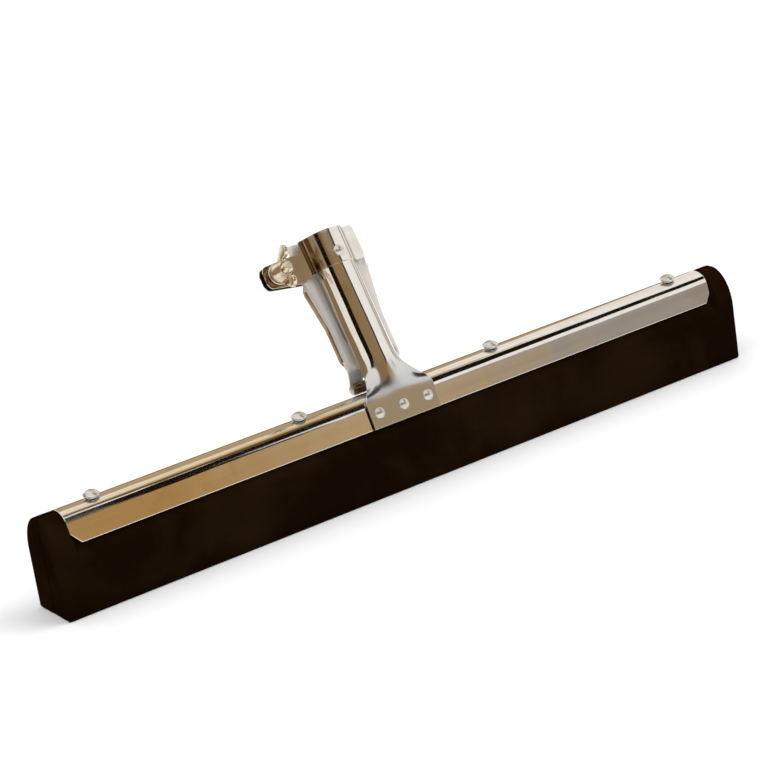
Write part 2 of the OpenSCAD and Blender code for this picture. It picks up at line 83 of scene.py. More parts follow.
def angle(name, description, degrees):
    """Angle property with its default given in degrees."""
    return FloatProperty(name=name, description=description, default=math.radians(degrees), subtype="ANGLE")


def colour(name, description, rgb):
    """Linear colour property."""
    return FloatVectorProperty(
        name=name, description=description, default=rgb, subtype="COLOR", min=0, max=1
    )


def number(name, description, value):
    """Plain number property."""
    return FloatProperty(name=name, description=description, default=value)


class ChannelSizes(PropertyGroup):
    """Pressed channel and its crown rivets."""
    sheet: length("Sheet", "Thickness of the channel's sheet", 1.2)
    splay: angle("Splay", "Angle of the flanges from upright", 22)
    crown_w: length("Crown width", "Width of the crown between its bends", 17)
    crown_rise: length("Crown rise", "Height of the crown above its bends", 3.1)
    bend: length("Bend", "Length of flange that the bend rounds off", 2.4)
    edge: length("Edge", "Rounding of the sheet's edges", 0.5)
    corner_x: length("Corner length", "Length of the cut corner along the lower edge", 5.2)
    corner_z: length("Corner height", "Height of the cut corner", 5.6)
    rivet_pitch: length("Rivet pitch", "Distance between crown rivets", 128)
    rivet_count: IntProperty(name="Rivets", description="Number of crown rivets", default=4, min=2)
    head_d: length("Head diameter", "Diameter of a crown rivet's head", 9)
    head_h: length("Head height", "Height of a crown rivet's head", 3)
    washer_d: length("Washer diameter", "Diameter of the washer under a crown rivet", 7)
    washer_h: length("Washer height", "Thickness of the washer under a crown rivet", 1)
    shank_d: length("Shank diameter", "Diameter of a crown rivet's shank", 4)
    # width of the painted shadow in the seam beside the foot
    seam_shadow_w: length("Grime width", "Width of the dirt in the seam beside the foot", 1.4)


class FoamSizes(PropertyGroup):
    """Foam strips."""
    shoulder: length("Shoulder", "Height at which the bare ends round over", 33)
    chamfer: length("Chamfer", "Chamfer of the wiping edges", 1)
    squeeze: length("Squeeze", "Height over which the foam is squeezed below the channel", 6)
    gap: length("Gap", "Clearance of the foam from the sheet", 0.3)
    edge: length("Edge", "Rounding of the cut ends' edges", 0.8)
    crown_gap: length("Crown gap", "Foam's top below the channel's crown", 5.6)


class SocketSizes(PropertyGroup):
    """Front and rear socket shells with their hinge."""
    mouth: length("Mouth", "Socket's mouth above the handle mount", 10)
    sheet: length("Sheet", "Thickness of the shells' sheet", 0.9)
    bore_d: length("Bore", "Diameter of the handle that the socket holds", 22)
    height: length("Height", "Mouth above the flange's lower edge, up the slope", 112.7)
    axis_back: length("Axis back", "Handle axis behind the plane of the foot", 9.4)
    front_setback: length("Front setback", "Front shell's edges ahead of the handle axis", 1)
    rear_setback: length("Rear setback", "Rear shell's plate behind the handle axis", 2)
    foot_w: length("Foot width", "Width of the front shell's foot", 44)
    foot_h: length("Foot height", "Height of the foot's straight sides", 16)
    skirt_top: length("Skirt top", "Height at which the skirt has become a half tube", 40)
    bright_z: length("Bright height", "Height above the floor where the front shell is bright", 74)
    satin_z: length("Satin height", "Height above the floor where the front shell has turned satin", 58)
    rivet_pitch: length("Foot rivets", "Distance between foot rivets", 16)
    rivet_t: length("Foot rivet height", "Height of the foot rivets up the slope", 8)
    rear_w: length("Rear width", "Width across the rear shell at the mouth", 43)
    leg_w: length("Leg width", "Width of the rear shell's leg", 34)
    waist_t: length("Waist", "Height up to which the rear shell keeps its leg's width", 62)
    nose_t: length("Nose", "Start of the rear shell's tapered nose, up the slope", 58)
    nose_h: length("Nose height", "Height of the rear shell's tapered nose", 15)
    nose_curve: number("Nose curve", "How late the nose turns in, where 1 is evenly", 1.25)
    blend: length("Blend", "Softness of the bend between the rear shell's plate and its bulge", 1.2)
    knee_upper: length("Knee above", "Start of the rear shell's knee above its corner", 2)
    knee_lower: length("Knee below", "End of the rear shell's knee below its corner", 1.5)
    turn_d: length("Turned edge", "Depth of the rear shell's turned side edges", 4)
    turn_upper: length("Upper run-out", "Length over which a turned edge flattens towards the collar", 4)
    turn_lower: length("Lower run-out", "Length over which a turned edge flattens towards the knee", 5)
    edge_r: length("Edge bend", "Bend of the rear shell's turned side edges", 0.6)
    knuckle_r: length("Knuckle radius", "Outer radius of the hinge knuckles", 3.2)
    mid_knuckle: length("Middle knuckle", "Length of the bracket's knuckle", 16)
    leaf_w: length("Leaf width", "Width of the bracket's leaf", 36)
    leaf_pitch: length("Leaf rivets", "Distance between bracket rivets", 14)
    leaf_t: length("Leaf rivet height", "Height of the bracket rivets up the slope", 6)
    pin_d: length("Pin diameter", "Diameter of the hinge pin", 3.5)
    pin_head_d: length("Pin head diameter", "Diameter of the hinge pin's heads", 5)
    pin_head_h: length("Pin head height", "Thickness of the hinge pin's heads", 1.2)
    dome_d: length("Rivet head", "Diameter of the sheet rivets' heads", 6)
    dome_h: length("Rivet head height", "Height of the sheet rivets' heads", 2)
    dome_shank_d: length("Rivet shank", "Diameter of the sheet rivets' shanks", 3)
    seat: length("Seat", "Gap between pieces that are riveted together", 0.05)
    clear: length("Clear", "Clear space between pieces that move past each other", 0.3)


class ClampSizes(PropertyGroup):
    """Collar bands, bolt, washers and wing nut."""
    band_h: length("Band height", "Height of the collar bands", 20)
    sheet: length("Sheet", "Thickness of the collar bands' sheet", 0.9)
    tab_reach: length("Tab reach", "Reach of the right tabs from the handle axis", 20)
    ear_reach: length("Ear reach", "Reach of the ears from the handle axis", 43)
    ear_tip_h: length("Ear tip", "Height of the ears at their tips", 12.5)
    ear_high: length("Ear top", "Ears' upper root below the mouth", 6)
    ear_low: length("Ear bottom", "Ears' lower root below the bands", 3)
    ear_round: length("Ear corner", "Rounding of the ears' corners", 3)
    root: length("Root", "Radius of the bend between a band and its ears", 3)
    root_flat: length("Root flat", "Flat stretch between a band's bend and the next point of its ear", 0.5)
    bolt_down: length("Bolt down", "Bolt's place below the mouth", 13.5)
    bolt_d: length("Bolt diameter", "Diameter of the bolt's thread", 6)
    slack: length("Bolt slack", "Spare radius of the bolt's hole in the front ear", 0.8)
    pitch: length("Pitch", "Pitch of the bolt's thread", 1)
    thread_h: length("Thread depth", "Depth of the bolt's thread", 0.45)
    bolt_head_d: length("Bolt head", "Diameter of the bolt's round head", 13)
    bolt_head_h: length("Bolt head height", "Height of the bolt's round head", 3.2)
    proud: length("Proud", "Length of bolt that stands out of the nut", 3.5)
    washer_d: length("Washer", "Outer diameter of the flat washer", 12.5)
    washer_h: length("Washer height", "Thickness of the flat washer", 1.2)
    lock_d: length("Spring washer", "Outer diameter of the spring washer", 10.8)
    lock_h: length("Spring washer height", "Thickness of the spring washer", 1.6)
    lock_cut: length("Spring washer cut", "Width of the spring washer's split", 1.2)
    hub_d: length("Hub", "Diameter of the wing nut's hub at its base", 11.6)
    hub_h: length("Hub height", "Height of the wing nut's hub", 8.5)
    wing_reach: length("Wing reach", "Reach of a wing's tip from the nut's axis", 12)
    wing_tip_r: length("Wing tip", "Radius of a wing's round tip", 3.5)
    wing_drop: length("Wing drop", "Bottom of a wing's round tip below the hub's top", 1)
    wing_root: length("Wing root", "Root of a wing outside the nut's bore", 0.3)
    wing_t: length("Wing thickness", "Thickness of the wings", 2.6)
    wing_edge: length("Wing edge", "Rounding of the wings' rims", 0.832)
    wing_turn: angle("Wing turn", "Turn of the wings at rest", 82)
    running: length("Running fit", "Radial clearance on the bolt", 0.06)


class FinishColours(PropertyGroup):
    """Base colours of the finishes."""
    plate: colour("Plate", "Bright plated sheet", (0.79, 0.765, 0.72))
    satin: colour("Satin plate", "Satin plated sheet of the rear shell", (0.76, 0.75, 0.73))
    tarnish: colour("Tarnish", "Brown tarnish in the plating", (0.42, 0.33, 0.23))
    # painted reflection: the darker grey stands in for the duller reflection on the foot
    foot: colour("Foot", "Satin plated foot of the front shell", (0.6, 0.6, 0.58))
    # painted reflection and shade: brown standing in for reflected brown surroundings on the collar's ears and the
    # rear shell's turned edges, and for shade on its knuckles
    painted_light_brown: colour("Aged plate", "Brown plating of the collar's ears", (0.26, 0.175, 0.095))
    # colour of the painted shadow in the seam beside the foot
    seam_shadow: colour("Grime", "Dirt in the seam beside the foot", (0.02, 0.015, 0.01))
    rivet: colour("Rivets", "Plated rivet heads", (0.66, 0.64, 0.61))
    zinc: colour("Zinc", "Zinc plated fasteners", (0.72, 0.62, 0.47))
    steel: colour("Steel", "Bare steel of pin and strip", (0.5, 0.48, 0.46))
    foam_dark: colour("Foam skin", "Moulded skin of the foam", (0.0083, 0.0035, 0.0011))
    foam_light: colour("Foam wear", "Worn places of the foam", (0.0168, 0.0085, 0.0038))
    # painted light: the cut ends are the same rubber, made lighter like the lit end face
    lit_foam_cut: colour("Foam cut", "Cut ends of the foam", (0.034, 0.02, 0.0112))


class StageSettings(PropertyGroup):
    """Camera, floor and light."""
    azimuth: angle("Azimuth", "Camera's turn to the left of the front", 31.21)
    elevation: angle("Elevation", "Camera's height above the horizon", 19.63)
    roll: angle("Roll", "Camera's roll", -9.0)
    distance: length("Distance", "Camera's distance from its target", 1575.35)
    shift_right: length("Shift right", "Camera's target to the right of the picture's centre", 6.08)
    shift_up: length("Shift up", "Camera's target above the picture's centre", 5.91)
    target_z: length("Target height", "Height of the camera's target", 60)
    lens: number("Lens", "Focal length in millimetres", 135.48)
    sensor: number("Sensor", "Width of the camera's sensor in millimetres", 36)
    sight: length("Sight", "Distance that the camera sees to", 100000)
    floor: length("Floor", "Side of the floor", 12000)
    daylight: number("Daylight", "Strength of the soft light from all round", 0.66)
    floor_lift: number("Floor lift", "Light that lifts the floor to white for the camera", 0.06)


class SqueegeeSettings(PropertyGroup):
    """All settings of the squeegee."""
    channel: PointerProperty(type=ChannelSizes)
    foam: PointerProperty(type=FoamSizes)
    socket: PointerProperty(type=SocketSizes)
    clamp: PointerProperty(type=ClampSizes)
    colours: PointerProperty(type=FinishColours)
    stage: PointerProperty(type=StageSettings)


def settings():
    """The scene's squeegee settings."""
    return bpy.context.scene.squeegee


# Frames that the pieces are drawn in

def frame_of(origin, up):
    """Matrix with x to the right, z along up and its origin at that point."""
    z = Vector(up).normalized()
    matrix = Matrix((RIGHT, z.cross(RIGHT), z)).transposed().to_4x4()
    matrix.translation = Vector(origin)
    return matrix


def socket_frame():
    """Frame on the handle axis: y to the rear, z up the slope, origin at the socket's mouth."""
    mount = MOUNTS["handle_socket"]
    axis = Vector(mount["axis"]).normalized()
    return frame_of(Vector(mount["pos_m"]) + axis * settings().socket.mouth, axis)


def flange_frame(front):
    """Frame on a flange's lower edge at the socket: y to the rear, z up the slope."""
    low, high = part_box("frame_channel")
    splay = settings().channel.splay
    side = -1 if front else 1
    centre = MOUNTS["handle_socket"]["pos_m"][0]
    y = low.y if front else high.y
    return frame_of((centre, y, low.z), (0, -side * math.sin(splay), math.cos(splay)))


def bolt_frame():
    """Frame on the bolt's axis: z points out of the front of the clamp."""
    joint = JOINTS["wing_nut_turn"]
    return frame_of(joint["pos_m"], -Vector(joint["axis"]))


def place_along(matrix, node):
    """Height of a CAD node's middle along a frame's z."""
    low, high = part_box(node)
    return (matrix.inverted() @ ((low + high) / 2)).z


def nut_seat():
    """Height of the wing nut's base along the bolt's frame."""
    return place_along(bolt_frame(), "lock_washer") + settings().clamp.lock_h / 2 + 2 * settings().socket.seat


def pin_centre():
    """Middle of the hinge pin."""
    return Vector(JOINTS["jaw_swing"]["pos_m"])


# Modelling helpers

def mix(a, b, k):
    """From a at k = 0 to b at k = 1."""
    return a + (b - a) * k


def ease(k):
    """Smooth step from 0 to 1."""
    k = min(max(k, 0.0), 1.0)
    return k * k * (3 - 2 * k)


def spread(a, b, count):
    """Evenly spaced numbers from a to b."""
    return [mix(a, b, i / (count - 1)) for i in range(count)]


def row_of(count, pitch):
    """Places of a centred row."""
    return [(i - (count - 1) / 2) * pitch for i in range(count)]


def arc(x, y, radius, start, end, count):
    """Points of an arc, with its angles in degrees."""
    turns = (math.radians(a) for a in spread(start, end, count))
    return [(x + radius * math.cos(a), y + radius * math.sin(a)) for a in turns]


def chain(bm, points, closed=False):
    """Edges through points."""
    verts = [bm.verts.new(p) for p in points]
    ends = verts[1:] + verts[:1] if closed else verts[1:]
    return verts, [bm.edges.new(pair) for pair in zip(verts, ends)]


def extrude_to(bm, verts, edges, points):
    """Extrudes a chain of edges to new points and returns the new chain, in the same order."""
    made = bmesh.ops.extrude_edge_only(bm, edges=edges)["geom"]
    new = {v for v in made if isinstance(v, bmesh.types.BMVert)}
    new_edges = [e for e in made if isinstance(e, bmesh.types.BMEdge)]
    follow = [next(o for o in (e.other_vert(v) for e in v.link_edges) if o in new) for v in verts]
    for vert, point in zip(follow, points):
        vert.co = point
    ahead = [e for e in new_edges if e.verts[0] in new and e.verts[1] in new]
    return follow, ahead


def loft(bm, rows, closed=False):
    """Surface through rows of points. Returns the chains of the first and the last row."""
    first = last = chain(bm, rows[0], closed)
    for row in rows[1:]:
        last = extrude_to(bm, *last, row)
    return first, last


def face_towards(bm, direction, near=None):
    """Turns a sheet's faces so that the one nearest a point, or the first, faces that direction."""
    bmesh.ops.recalc_face_normals(bm, faces=bm.faces)
    bm.normal_update()
    faces = list(bm.faces)
    best = faces[0]
    if near is not None:
        best = min(faces, key=lambda f: (f.calc_center_median() - near).length)
    if best.normal.dot(Vector(direction)) < 0:
        bmesh.ops.reverse_faces(bm, faces=faces)


def lathe(bm, profile, matrix, steps=32, closed=False):
    """Body of revolution of a profile in (radius, height) about a frame's z."""
    before = set(bm.verts)
    verts, edges = chain(bm, [(r, 0, z) for r, z in profile], closed)
    bmesh.ops.spin(
        bm, geom=verts + edges, cent=(0, 0, 0), axis=(0, 0, 1), angle=math.tau, steps=steps, use_merge=True
    )
    made = [v for v in bm.verts if v not in before]
    bmesh.ops.transform(bm, matrix=matrix, verts=made)
    bmesh.ops.remove_doubles(bm, verts=made, dist=MERGE)


def round_edges(bm, edges, offset, segments):
    """Rounds edges off."""
    bmesh.ops.bevel(
        bm, geom=edges, offset=offset, segments=segments, profile=0.5, affect="EDGES", material=-1,
        clamp_overlap=True,
    )


def roll_knuckle(bm, verts, edges):
    """Rolls a sheet's end edges round the hinge pin."""
    bmesh.ops.spin(
        bm, geom=verts + edges, cent=pin_centre(), axis=RIGHT, angle=math.radians(KNUCKLE_TURN), steps=18,
        use_merge=False,
    )


def ring_profile(bore, r, low, high, soft):
    """Section of a washer between two heights, with soft outer edges."""
    return [(bore, low), (r - soft, low), (r, low + soft), (r, high - soft), (r - soft, high), (bore, high)]


def dome_profile(diameter, height, shank_d, shank_len, lip=0.25):
    """Profile of a dome-head rivet from its top down to its shank's end."""
    r = diameter / 2
    edge = height * lip
    rise = height - edge
    ball = (r * r + rise * rise) / (2 * rise)
    last = math.degrees(math.asin(r / ball))
    crown = arc(0, height - ball, ball, 90, 90 - last, 9)
    under = [(r - edge / 3, 0), (shank_d / 2, 0), (shank_d / 2, -shank_len), (0, -shank_len)]
    return [(0, height)] + crown[1:] + [(r, edge / 2)] + under


def add_modifiers(piece, thickness, bevel, segments=2):
    """Sheet thickness behind the faces, and rounded edges."""
    wall = piece.modifiers.new("Sheet", "SOLIDIFY")
    wall.thickness = thickness
    wall.offset = -1
    wall.use_even_offset = True
    edge = piece.modifiers.new("Edges", "BEVEL")
    edge.width = bevel
    edge.segments = segments
    edge.limit_method = "ANGLE"
    edge.angle_limit = math.radians(40)
    edge.harden_normals = True


def mesh_object(name, bm, materials):
    """Object of a bmesh with its materials, linked to the scene."""
    mesh = bpy.data.meshes.new(name)
    bm.to_mesh(mesh)
    bm.free()
    for material in materials:
        mesh.materials.append(material)
    piece = bpy.data.objects.new(name, mesh)
    bpy.context.scene.collection.objects.link(piece)
    return piece


def finish_piece(name, bm, materials, body, nodes, sharp=35):
    """Makes the finished object of a bmesh, which stands for CAD nodes and moves with a body."""
    piece = mesh_object(name, bm, materials)
    piece.data.shade_smooth()
    piece.data.set_sharp_from_angle(angle=math.radians(sharp))
    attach(piece, body)
    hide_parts(*nodes)
    return piece


def thin_sheet(name, bm, materials, body, node, thickness):
    """Finished piece of thin sheet, whose outer faces the bmesh holds."""
    piece = finish_piece(name, bm, materials, body, [node], sharp=60)
    add_modifiers(piece, thickness, SHEET_EDGE)


def turned_pieces(name, profile, places, material, body, node, steps=32, closed=False):
    """Identical turned pieces at several places, as one object."""
    bm = bmesh.new()
    for place in places:
        lathe(bm, profile, place, steps, closed)
    bmesh.ops.recalc_face_normals(bm, faces=bm.faces)
    finish_piece(name, bm, [material], body, [node])


def sheet_rivets(name, matrix, side, across, depth, height, shank, body, node):
    """Row of dome rivets whose heads face the front (side = -1) or the rear (side = 1) of a frame."""
    sizes = settings().socket
    out = matrix.to_3x3() @ Vector((0, side, 0))
    places = [frame_of(matrix @ Vector((x, depth, height)), out) for x in across]
    profile = dome_profile(sizes.dome_d, sizes.dome_h, sizes.dome_shank_d, shank)
    turned_pieces(name, profile, places, rivet_steel(), body, node)


# Finishes

class Finish:
    """Node material read on Object coordinates."""

    def __init__(self, name):
        self.material = bpy.data.materials.new(name)
        self.material.use_nodes = True
        self.tree = self.material.node_tree
        self.shader = self.tree.nodes["Principled BSDF"]
        self.place = self.tree.nodes.new("ShaderNodeTexCoord").outputs["Object"]

    def add(self, kind, inputs=None, **settings_of):
        """New node with its settings and its inputs, each a value or another node's output."""
        node = self.tree.nodes.new(kind)
        for key, value in settings_of.items():
            setattr(node, key, value)
        for key, value in (inputs or {}).items():
            self.feed(node.inputs[key], value)
        return node

    def feed(self, socket, value):
        """Links an output to a socket, or sets its value."""
        if isinstance(value, bpy.types.NodeSocket):
            self.tree.links.new(value, socket)
        else:
            socket.default_value = value

    def noise(self, scale, detail=3.0, stretch=None, distortion=0.0):
        """Noise of a size, stretched along an axis where wanted."""
        vector = self.place
        if stretch:
            vector = self.add("ShaderNodeMapping", {"Vector": vector, "Scale": stretch}).outputs[0]
        inputs = {"Vector": vector, "Scale": scale, "Detail": detail, "Distortion": distortion}
        return self.add("ShaderNodeTexNoise", inputs).outputs["Fac"]

    def cells(self, scale):
        """Distance to the nearest cell centre."""
        return self.add("ShaderNodeTexVoronoi", {"Vector": self.place, "Scale": scale}).outputs["Distance"]

    def spans(self, value, low, high, to_low, to_high):
        """Maps a range of values to another range."""
        inputs = {0: value, 1: low, 2: high, 3: to_low, 4: to_high}
        return self.add("ShaderNodeMapRange", inputs, clamp=True).outputs[0]

    def blend(self, factor, a, b):
        """Colour between a and b."""
        node = self.add("ShaderNodeMix", data_type="RGBA")
        for index, value in ((0, factor), (6, a), (7, b)):
            self.feed(node.inputs[index], value)
        return node.outputs[2]

    def sum(self, a, b):
        """Sum of two values."""
        return self.add("ShaderNodeMath", {0: a, 1: b}, operation="ADD").outputs[0]

    def most(self, a, b):
        """The greater of two values."""
        return self.add("ShaderNodeMath", {0: a, 1: b}, operation="MAXIMUM").outputs[0]

    def height(self):
        """Height above the floor."""
        return self.add("ShaderNodeSeparateXYZ", {"Vector": self.place}).outputs["Z"]

    def inside(self, low, high):
        """1 inside a box, softly 0 outside it."""
        low, high = Vector(low), Vector(high)
        half = (high - low) / 2
        scale = Vector((1 / half.x, 1 / half.y, 1 / half.z))
        inputs = {"Vector": self.place, "Scale": scale, "Location": -(low + high) / 2 * scale}
        local = self.add("ShaderNodeMapping", inputs).outputs[0]
        away = self.add("ShaderNodeVectorMath", {0: local}, operation="ABSOLUTE").outputs[0]
        parts = self.add("ShaderNodeSeparateXYZ", {"Vector": away}).outputs
        most = self.most(self.most(parts["X"], parts["Y"]), parts["Z"])
        return self.spans(most, 0.95, 1.05, 1.0, 0.0)

    def edges(self, low, high):
        """1 on convex edges, 0 elsewhere."""
        return self.spans(self.add("ShaderNodeNewGeometry").outputs["Pointiness"], low, high, 0.0, 1.0)

    def relief(self, *layers):
        """Bumps one over the other, each a height, a strength and a depth in metres."""
        normal = None
        for height, strength, depth in layers:
            inputs = {"Height": height, "Strength": strength, "Distance": depth}
            if normal:
                inputs["Normal"] = normal
            normal = self.add("ShaderNodeBump", inputs).outputs[0]
        self.feed(self.shader.inputs["Normal"], normal)

    def set(self, **inputs):
        """Sets the shader's inputs, with spaces for underscores."""
        for key, value in inputs.items():
            self.feed(self.shader.inputs[key.replace("_", " ")], value)


def rgba(rgb, gain=1.0):
    """Opaque colour."""
    return (rgb[0] * gain, rgb[1] * gain, rgb[2] * gain, 1.0)


def plate_finish(name, tint, polish, haze, along, wave, metal=1.0, satin=None, painted_light=None):
    """Bright plating with slight waves, hair scratches, patches of tarnish and bright edges.

    along stretches the scratches along the rolling direction.
    satin gives two heights, a roughness and a colour: bright plating at the first, satin at the second, where the
    colour darkens as painted reflection.
    The last argument gives a box and a colour: the plating takes that colour inside the box as painted light,
    painted shade in the channel's seam and painted reflection on the collar's ears.
    """
    finish = Finish(name)
    tones = settings().colours
    patches = finish.spans(finish.noise(38, 5, distortion=0.6), 0.56, 0.78, 0.0, 0.45)
    base = finish.blend(patches, rgba(tint), rgba(tones.tarnish, 1.25))
    worn = finish.edges(0.52, 0.6)
    scratches = finish.noise(60, 4, stretch=along)
    streaks = finish.noise(170, 3, stretch=along)
    base = finish.blend(finish.spans(streaks, 0.45, 0.75, 0.0, 0.4), base, rgba(tones.tarnish, 1.5))
    # painted light inside a box: shade in the channel's seam, reflection on the collar's ears
    if painted_light:
        base = finish.blend(finish.inside(*painted_light[:2]), base, rgba(painted_light[2]))
    fine = finish.spans(scratches, 0.6, 0.74, 0.0, 0.16)
    smear = finish.spans(finish.noise(26, 4), 0.35, 0.7, polish, haze)
    if satin:
        dull = finish.spans(finish.height(), satin[1], satin[0], 1.0, 0.0)
        smear = finish.sum(smear, finish.spans(dull, 0.0, 1.0, 0.0, satin[2]))
        # darker colour low down: painted reflection
        base = finish.blend(dull, base, rgba(satin[3]))
    finish.set(
        Base_Color=finish.blend(worn, base, rgba(tint, 1.12)),
        Metallic=metal,
        Roughness=finish.sum(smear, fine),
        Specular_IOR_Level=0.5,
    )
    waves, grain = finish.noise(34, 1), finish.noise(900, 2)
    finish.relief((waves, wave, 0.0016), (grain, 0.05, 0.00004), (scratches, 0.06, 0.00006))
    return finish.material


def zinc_finish(name, tint, polish):
    """Zinc plated hardware: small crystals, worn bright edges and brown patches."""
    finish = Finish(name)
    tones = settings().colours
    grains = finish.cells(900)
    dirt = finish.spans(finish.noise(160, 4), 0.52, 0.75, 0.0, 0.7)
    base = finish.blend(dirt, rgba(tint), rgba(tones.tarnish, 0.9))
    dull = finish.spans(dirt, 0.0, 0.7, 0.0, 0.15)
    finish.set(
        Base_Color=finish.blend(finish.edges(0.51, 0.58), base, rgba(tint, 1.15)),
        Metallic=1.0,
        Roughness=finish.sum(finish.spans(grains, 0.0, 0.9, polish, polish + 0.1), dull),
    )
    finish.relief((finish.noise(220, 3), 0.25, 0.0003), (grains, 0.08, 0.00008))
    return finish.material


def foam_finish(name, dark, light, pore_scale, pore_depth):
    """Black-brown cellular rubber: pores and rubbed patches, without a sheen."""
    finish = Finish(name)
    pores = finish.cells(pore_scale)
    rubbed = finish.spans(finish.noise(22, 5, distortion=0.4), 0.42, 0.72, 0.0, 1.0)
    specks = finish.spans(pores, 0.05, 0.35, 0.55, 0.0)
    base = finish.blend(rubbed, rgba(dark), rgba(light))
    finish.set(
        Base_Color=finish.blend(specks, base, rgba(dark, 0.6)),
        Roughness=finish.spans(finish.noise(140, 3), 0.3, 0.7, 0.62, 0.82),
        Specular_IOR_Level=0.0,
    )
    finish.relief((finish.noise(70, 3), 0.3, 0.0006), (pores, 0.5, pore_depth))
    return finish.material


# Stretch of the scratches along each rolling direction
ALONG_BLADE = (0.02, 1.0, 1.0)
UP_SOCKET = (1.0, 0.05, 0.03)
ROUND_COLLAR = (0.05, 0.05, 1.0)


def channel_plate():
    """Bright plating of the channel, with a painted shadow in the seam beside the foot."""
    sizes = settings().channel
    tones = settings().colours
    seam = MOUNTS["handle_socket"]["pos_m"][0] - settings().socket.foot_w / 2
    low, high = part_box("frame_channel")
    # box of the painted shadow in the seam beside the foot's left edge
    painted_light = (seam - sizes.seam_shadow_w, 2 * low.y, 0), (seam, low.y / 3, high.z - sizes.crown_rise), tones.seam_shadow
    return plate_finish("channel_plate", tones.plate, 0.05, 0.13, ALONG_BLADE, 0.22, painted_light=painted_light)


def socket_plate():
    """Bright plating of the front shell and the hinge leaf, satin low down with a darker grey of painted
    reflection.
    """
    sizes = settings().socket
    tones = settings().colours
    satin = (sizes.bright_z, sizes.satin_z, 0.1, tones.foot)
    return plate_finish("socket_plate", tones.plate, 0.045, 0.1, UP_SOCKET, 0.3, satin=satin)


def satin_plate():
    """Satin plating of the rear shell."""
    return plate_finish("satin_plate", settings().colours.satin, 0.18, 0.28, UP_SOCKET, 0.12, metal=0.45)


def painted_light_brown_plate():
    """Brown painted reflection and shade on the rear shell's turned edges and knuckles."""
    return plate_finish("painted_light_brown_plate", settings().colours.painted_light_brown, 0.16, 0.3, UP_SOCKET, 0.12)


def collar_plate():
    """Bright plating of the collar, with brown painted reflection at its ears."""
    tones = settings().colours
    low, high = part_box("front_clamp_band")
    root = MOUNTS["handle_socket"]["pos_m"][0] - settings().socket.bore_d / 3
    # painted brown reflection on the collar's ears and left side
    painted_light = (2 * low.x, -high.y, 0), (root, 2 * high.y, 2 * high.z), tones.painted_light_brown
    return plate_finish("collar_plate", tones.plate, 0.05, 0.12, ROUND_COLLAR, 0.4, painted_light=painted_light)


def rivet_steel():
    """Plated rivet heads."""
    return zinc_finish("rivet_steel", settings().colours.rivet, 0.24)


def fastener_zinc():
    """Yellowish zinc of bolt, flat washer and wing nut."""
    return zinc_finish("fastener_zinc", settings().colours.zinc, 0.16)


def bare_steel(name):
    """Unplated steel."""
    return zinc_finish(name, settings().colours.steel, 0.3)


def foam_skin():
    """Moulded skin of the foam, with fine pores."""
    tones = settings().colours
    return foam_finish("foam_skin", tones.foam_dark, tones.foam_light, 1500, 0.00012)


def lit_foam_cut():
    """Cut ends of the foam, with open pores and a lighter colour that is painted light."""
    tones = settings().colours
    return foam_finish("lit_foam_cut", tones.foam_light, tones.lit_foam_cut, 900, 0.0003)


# Pieces

class SQUEEGEE_OT_channel(Operator):
    """Presses the channel: a rounded crown with two splayed flanges and cut corners."""
    bl_idname = "squeegee.channel"
    bl_label = "Channel"

    def on_bend(self, edge, height):
        """Tells an edge that runs along one of the crown's two bends."""
        a, b = (v.co for v in edge.verts)
        return max(abs(a.z - height), abs(b.z - height), abs(a.y - b.y)) < MERGE

    def execute(self, context):
        sizes = settings().channel
        low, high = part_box("frame_channel")
        bend_z = high.z - sizes.crown_rise
        half = sizes.crown_w / 2
        crown_r = (half * half + sizes.crown_rise ** 2) / (2 * sizes.crown_rise)
        swing = math.degrees(math.asin(half / crown_r))
        level = swing - math.degrees(1.1 * sizes.bend / crown_r)
        crown = arc(0, high.z - crown_r, crown_r, 90 + level, 90 - level, 13)
        section = [(low.y, low.z), (-half, bend_z)] + crown + [(half, bend_z), (high.y, low.z)]
        bm = bmesh.new()
        loft(bm, [[(x, y, z) for y, z in section] for x in spread(low.x, high.x, 61)])
        round_edges(bm, [e for e in bm.edges if self.on_bend(e, bend_z)], sizes.bend, 6)
        for end in (low.x, high.x):
            side = 1 if end > 0 else -1
            cut = Vector((end, 0, low.z + sizes.corner_z))
            out = Vector((side * sizes.corner_z, 0, -sizes.corner_x))
            geom = bm.verts[:] + bm.edges[:] + bm.faces[:]
            bmesh.ops.bisect_plane(bm, geom=geom, plane_co=cut, plane_no=out, clear_outer=True, dist=MERGE)
        face_towards(bm, (0, 0, 1), Vector((0, 0, high.z)))
        piece = finish_piece("channel", bm, [channel_plate()], "frame", ["frame_channel"])
        add_modifiers(piece, sizes.sheet, sizes.edge, segments=3)
        return {"FINISHED"}


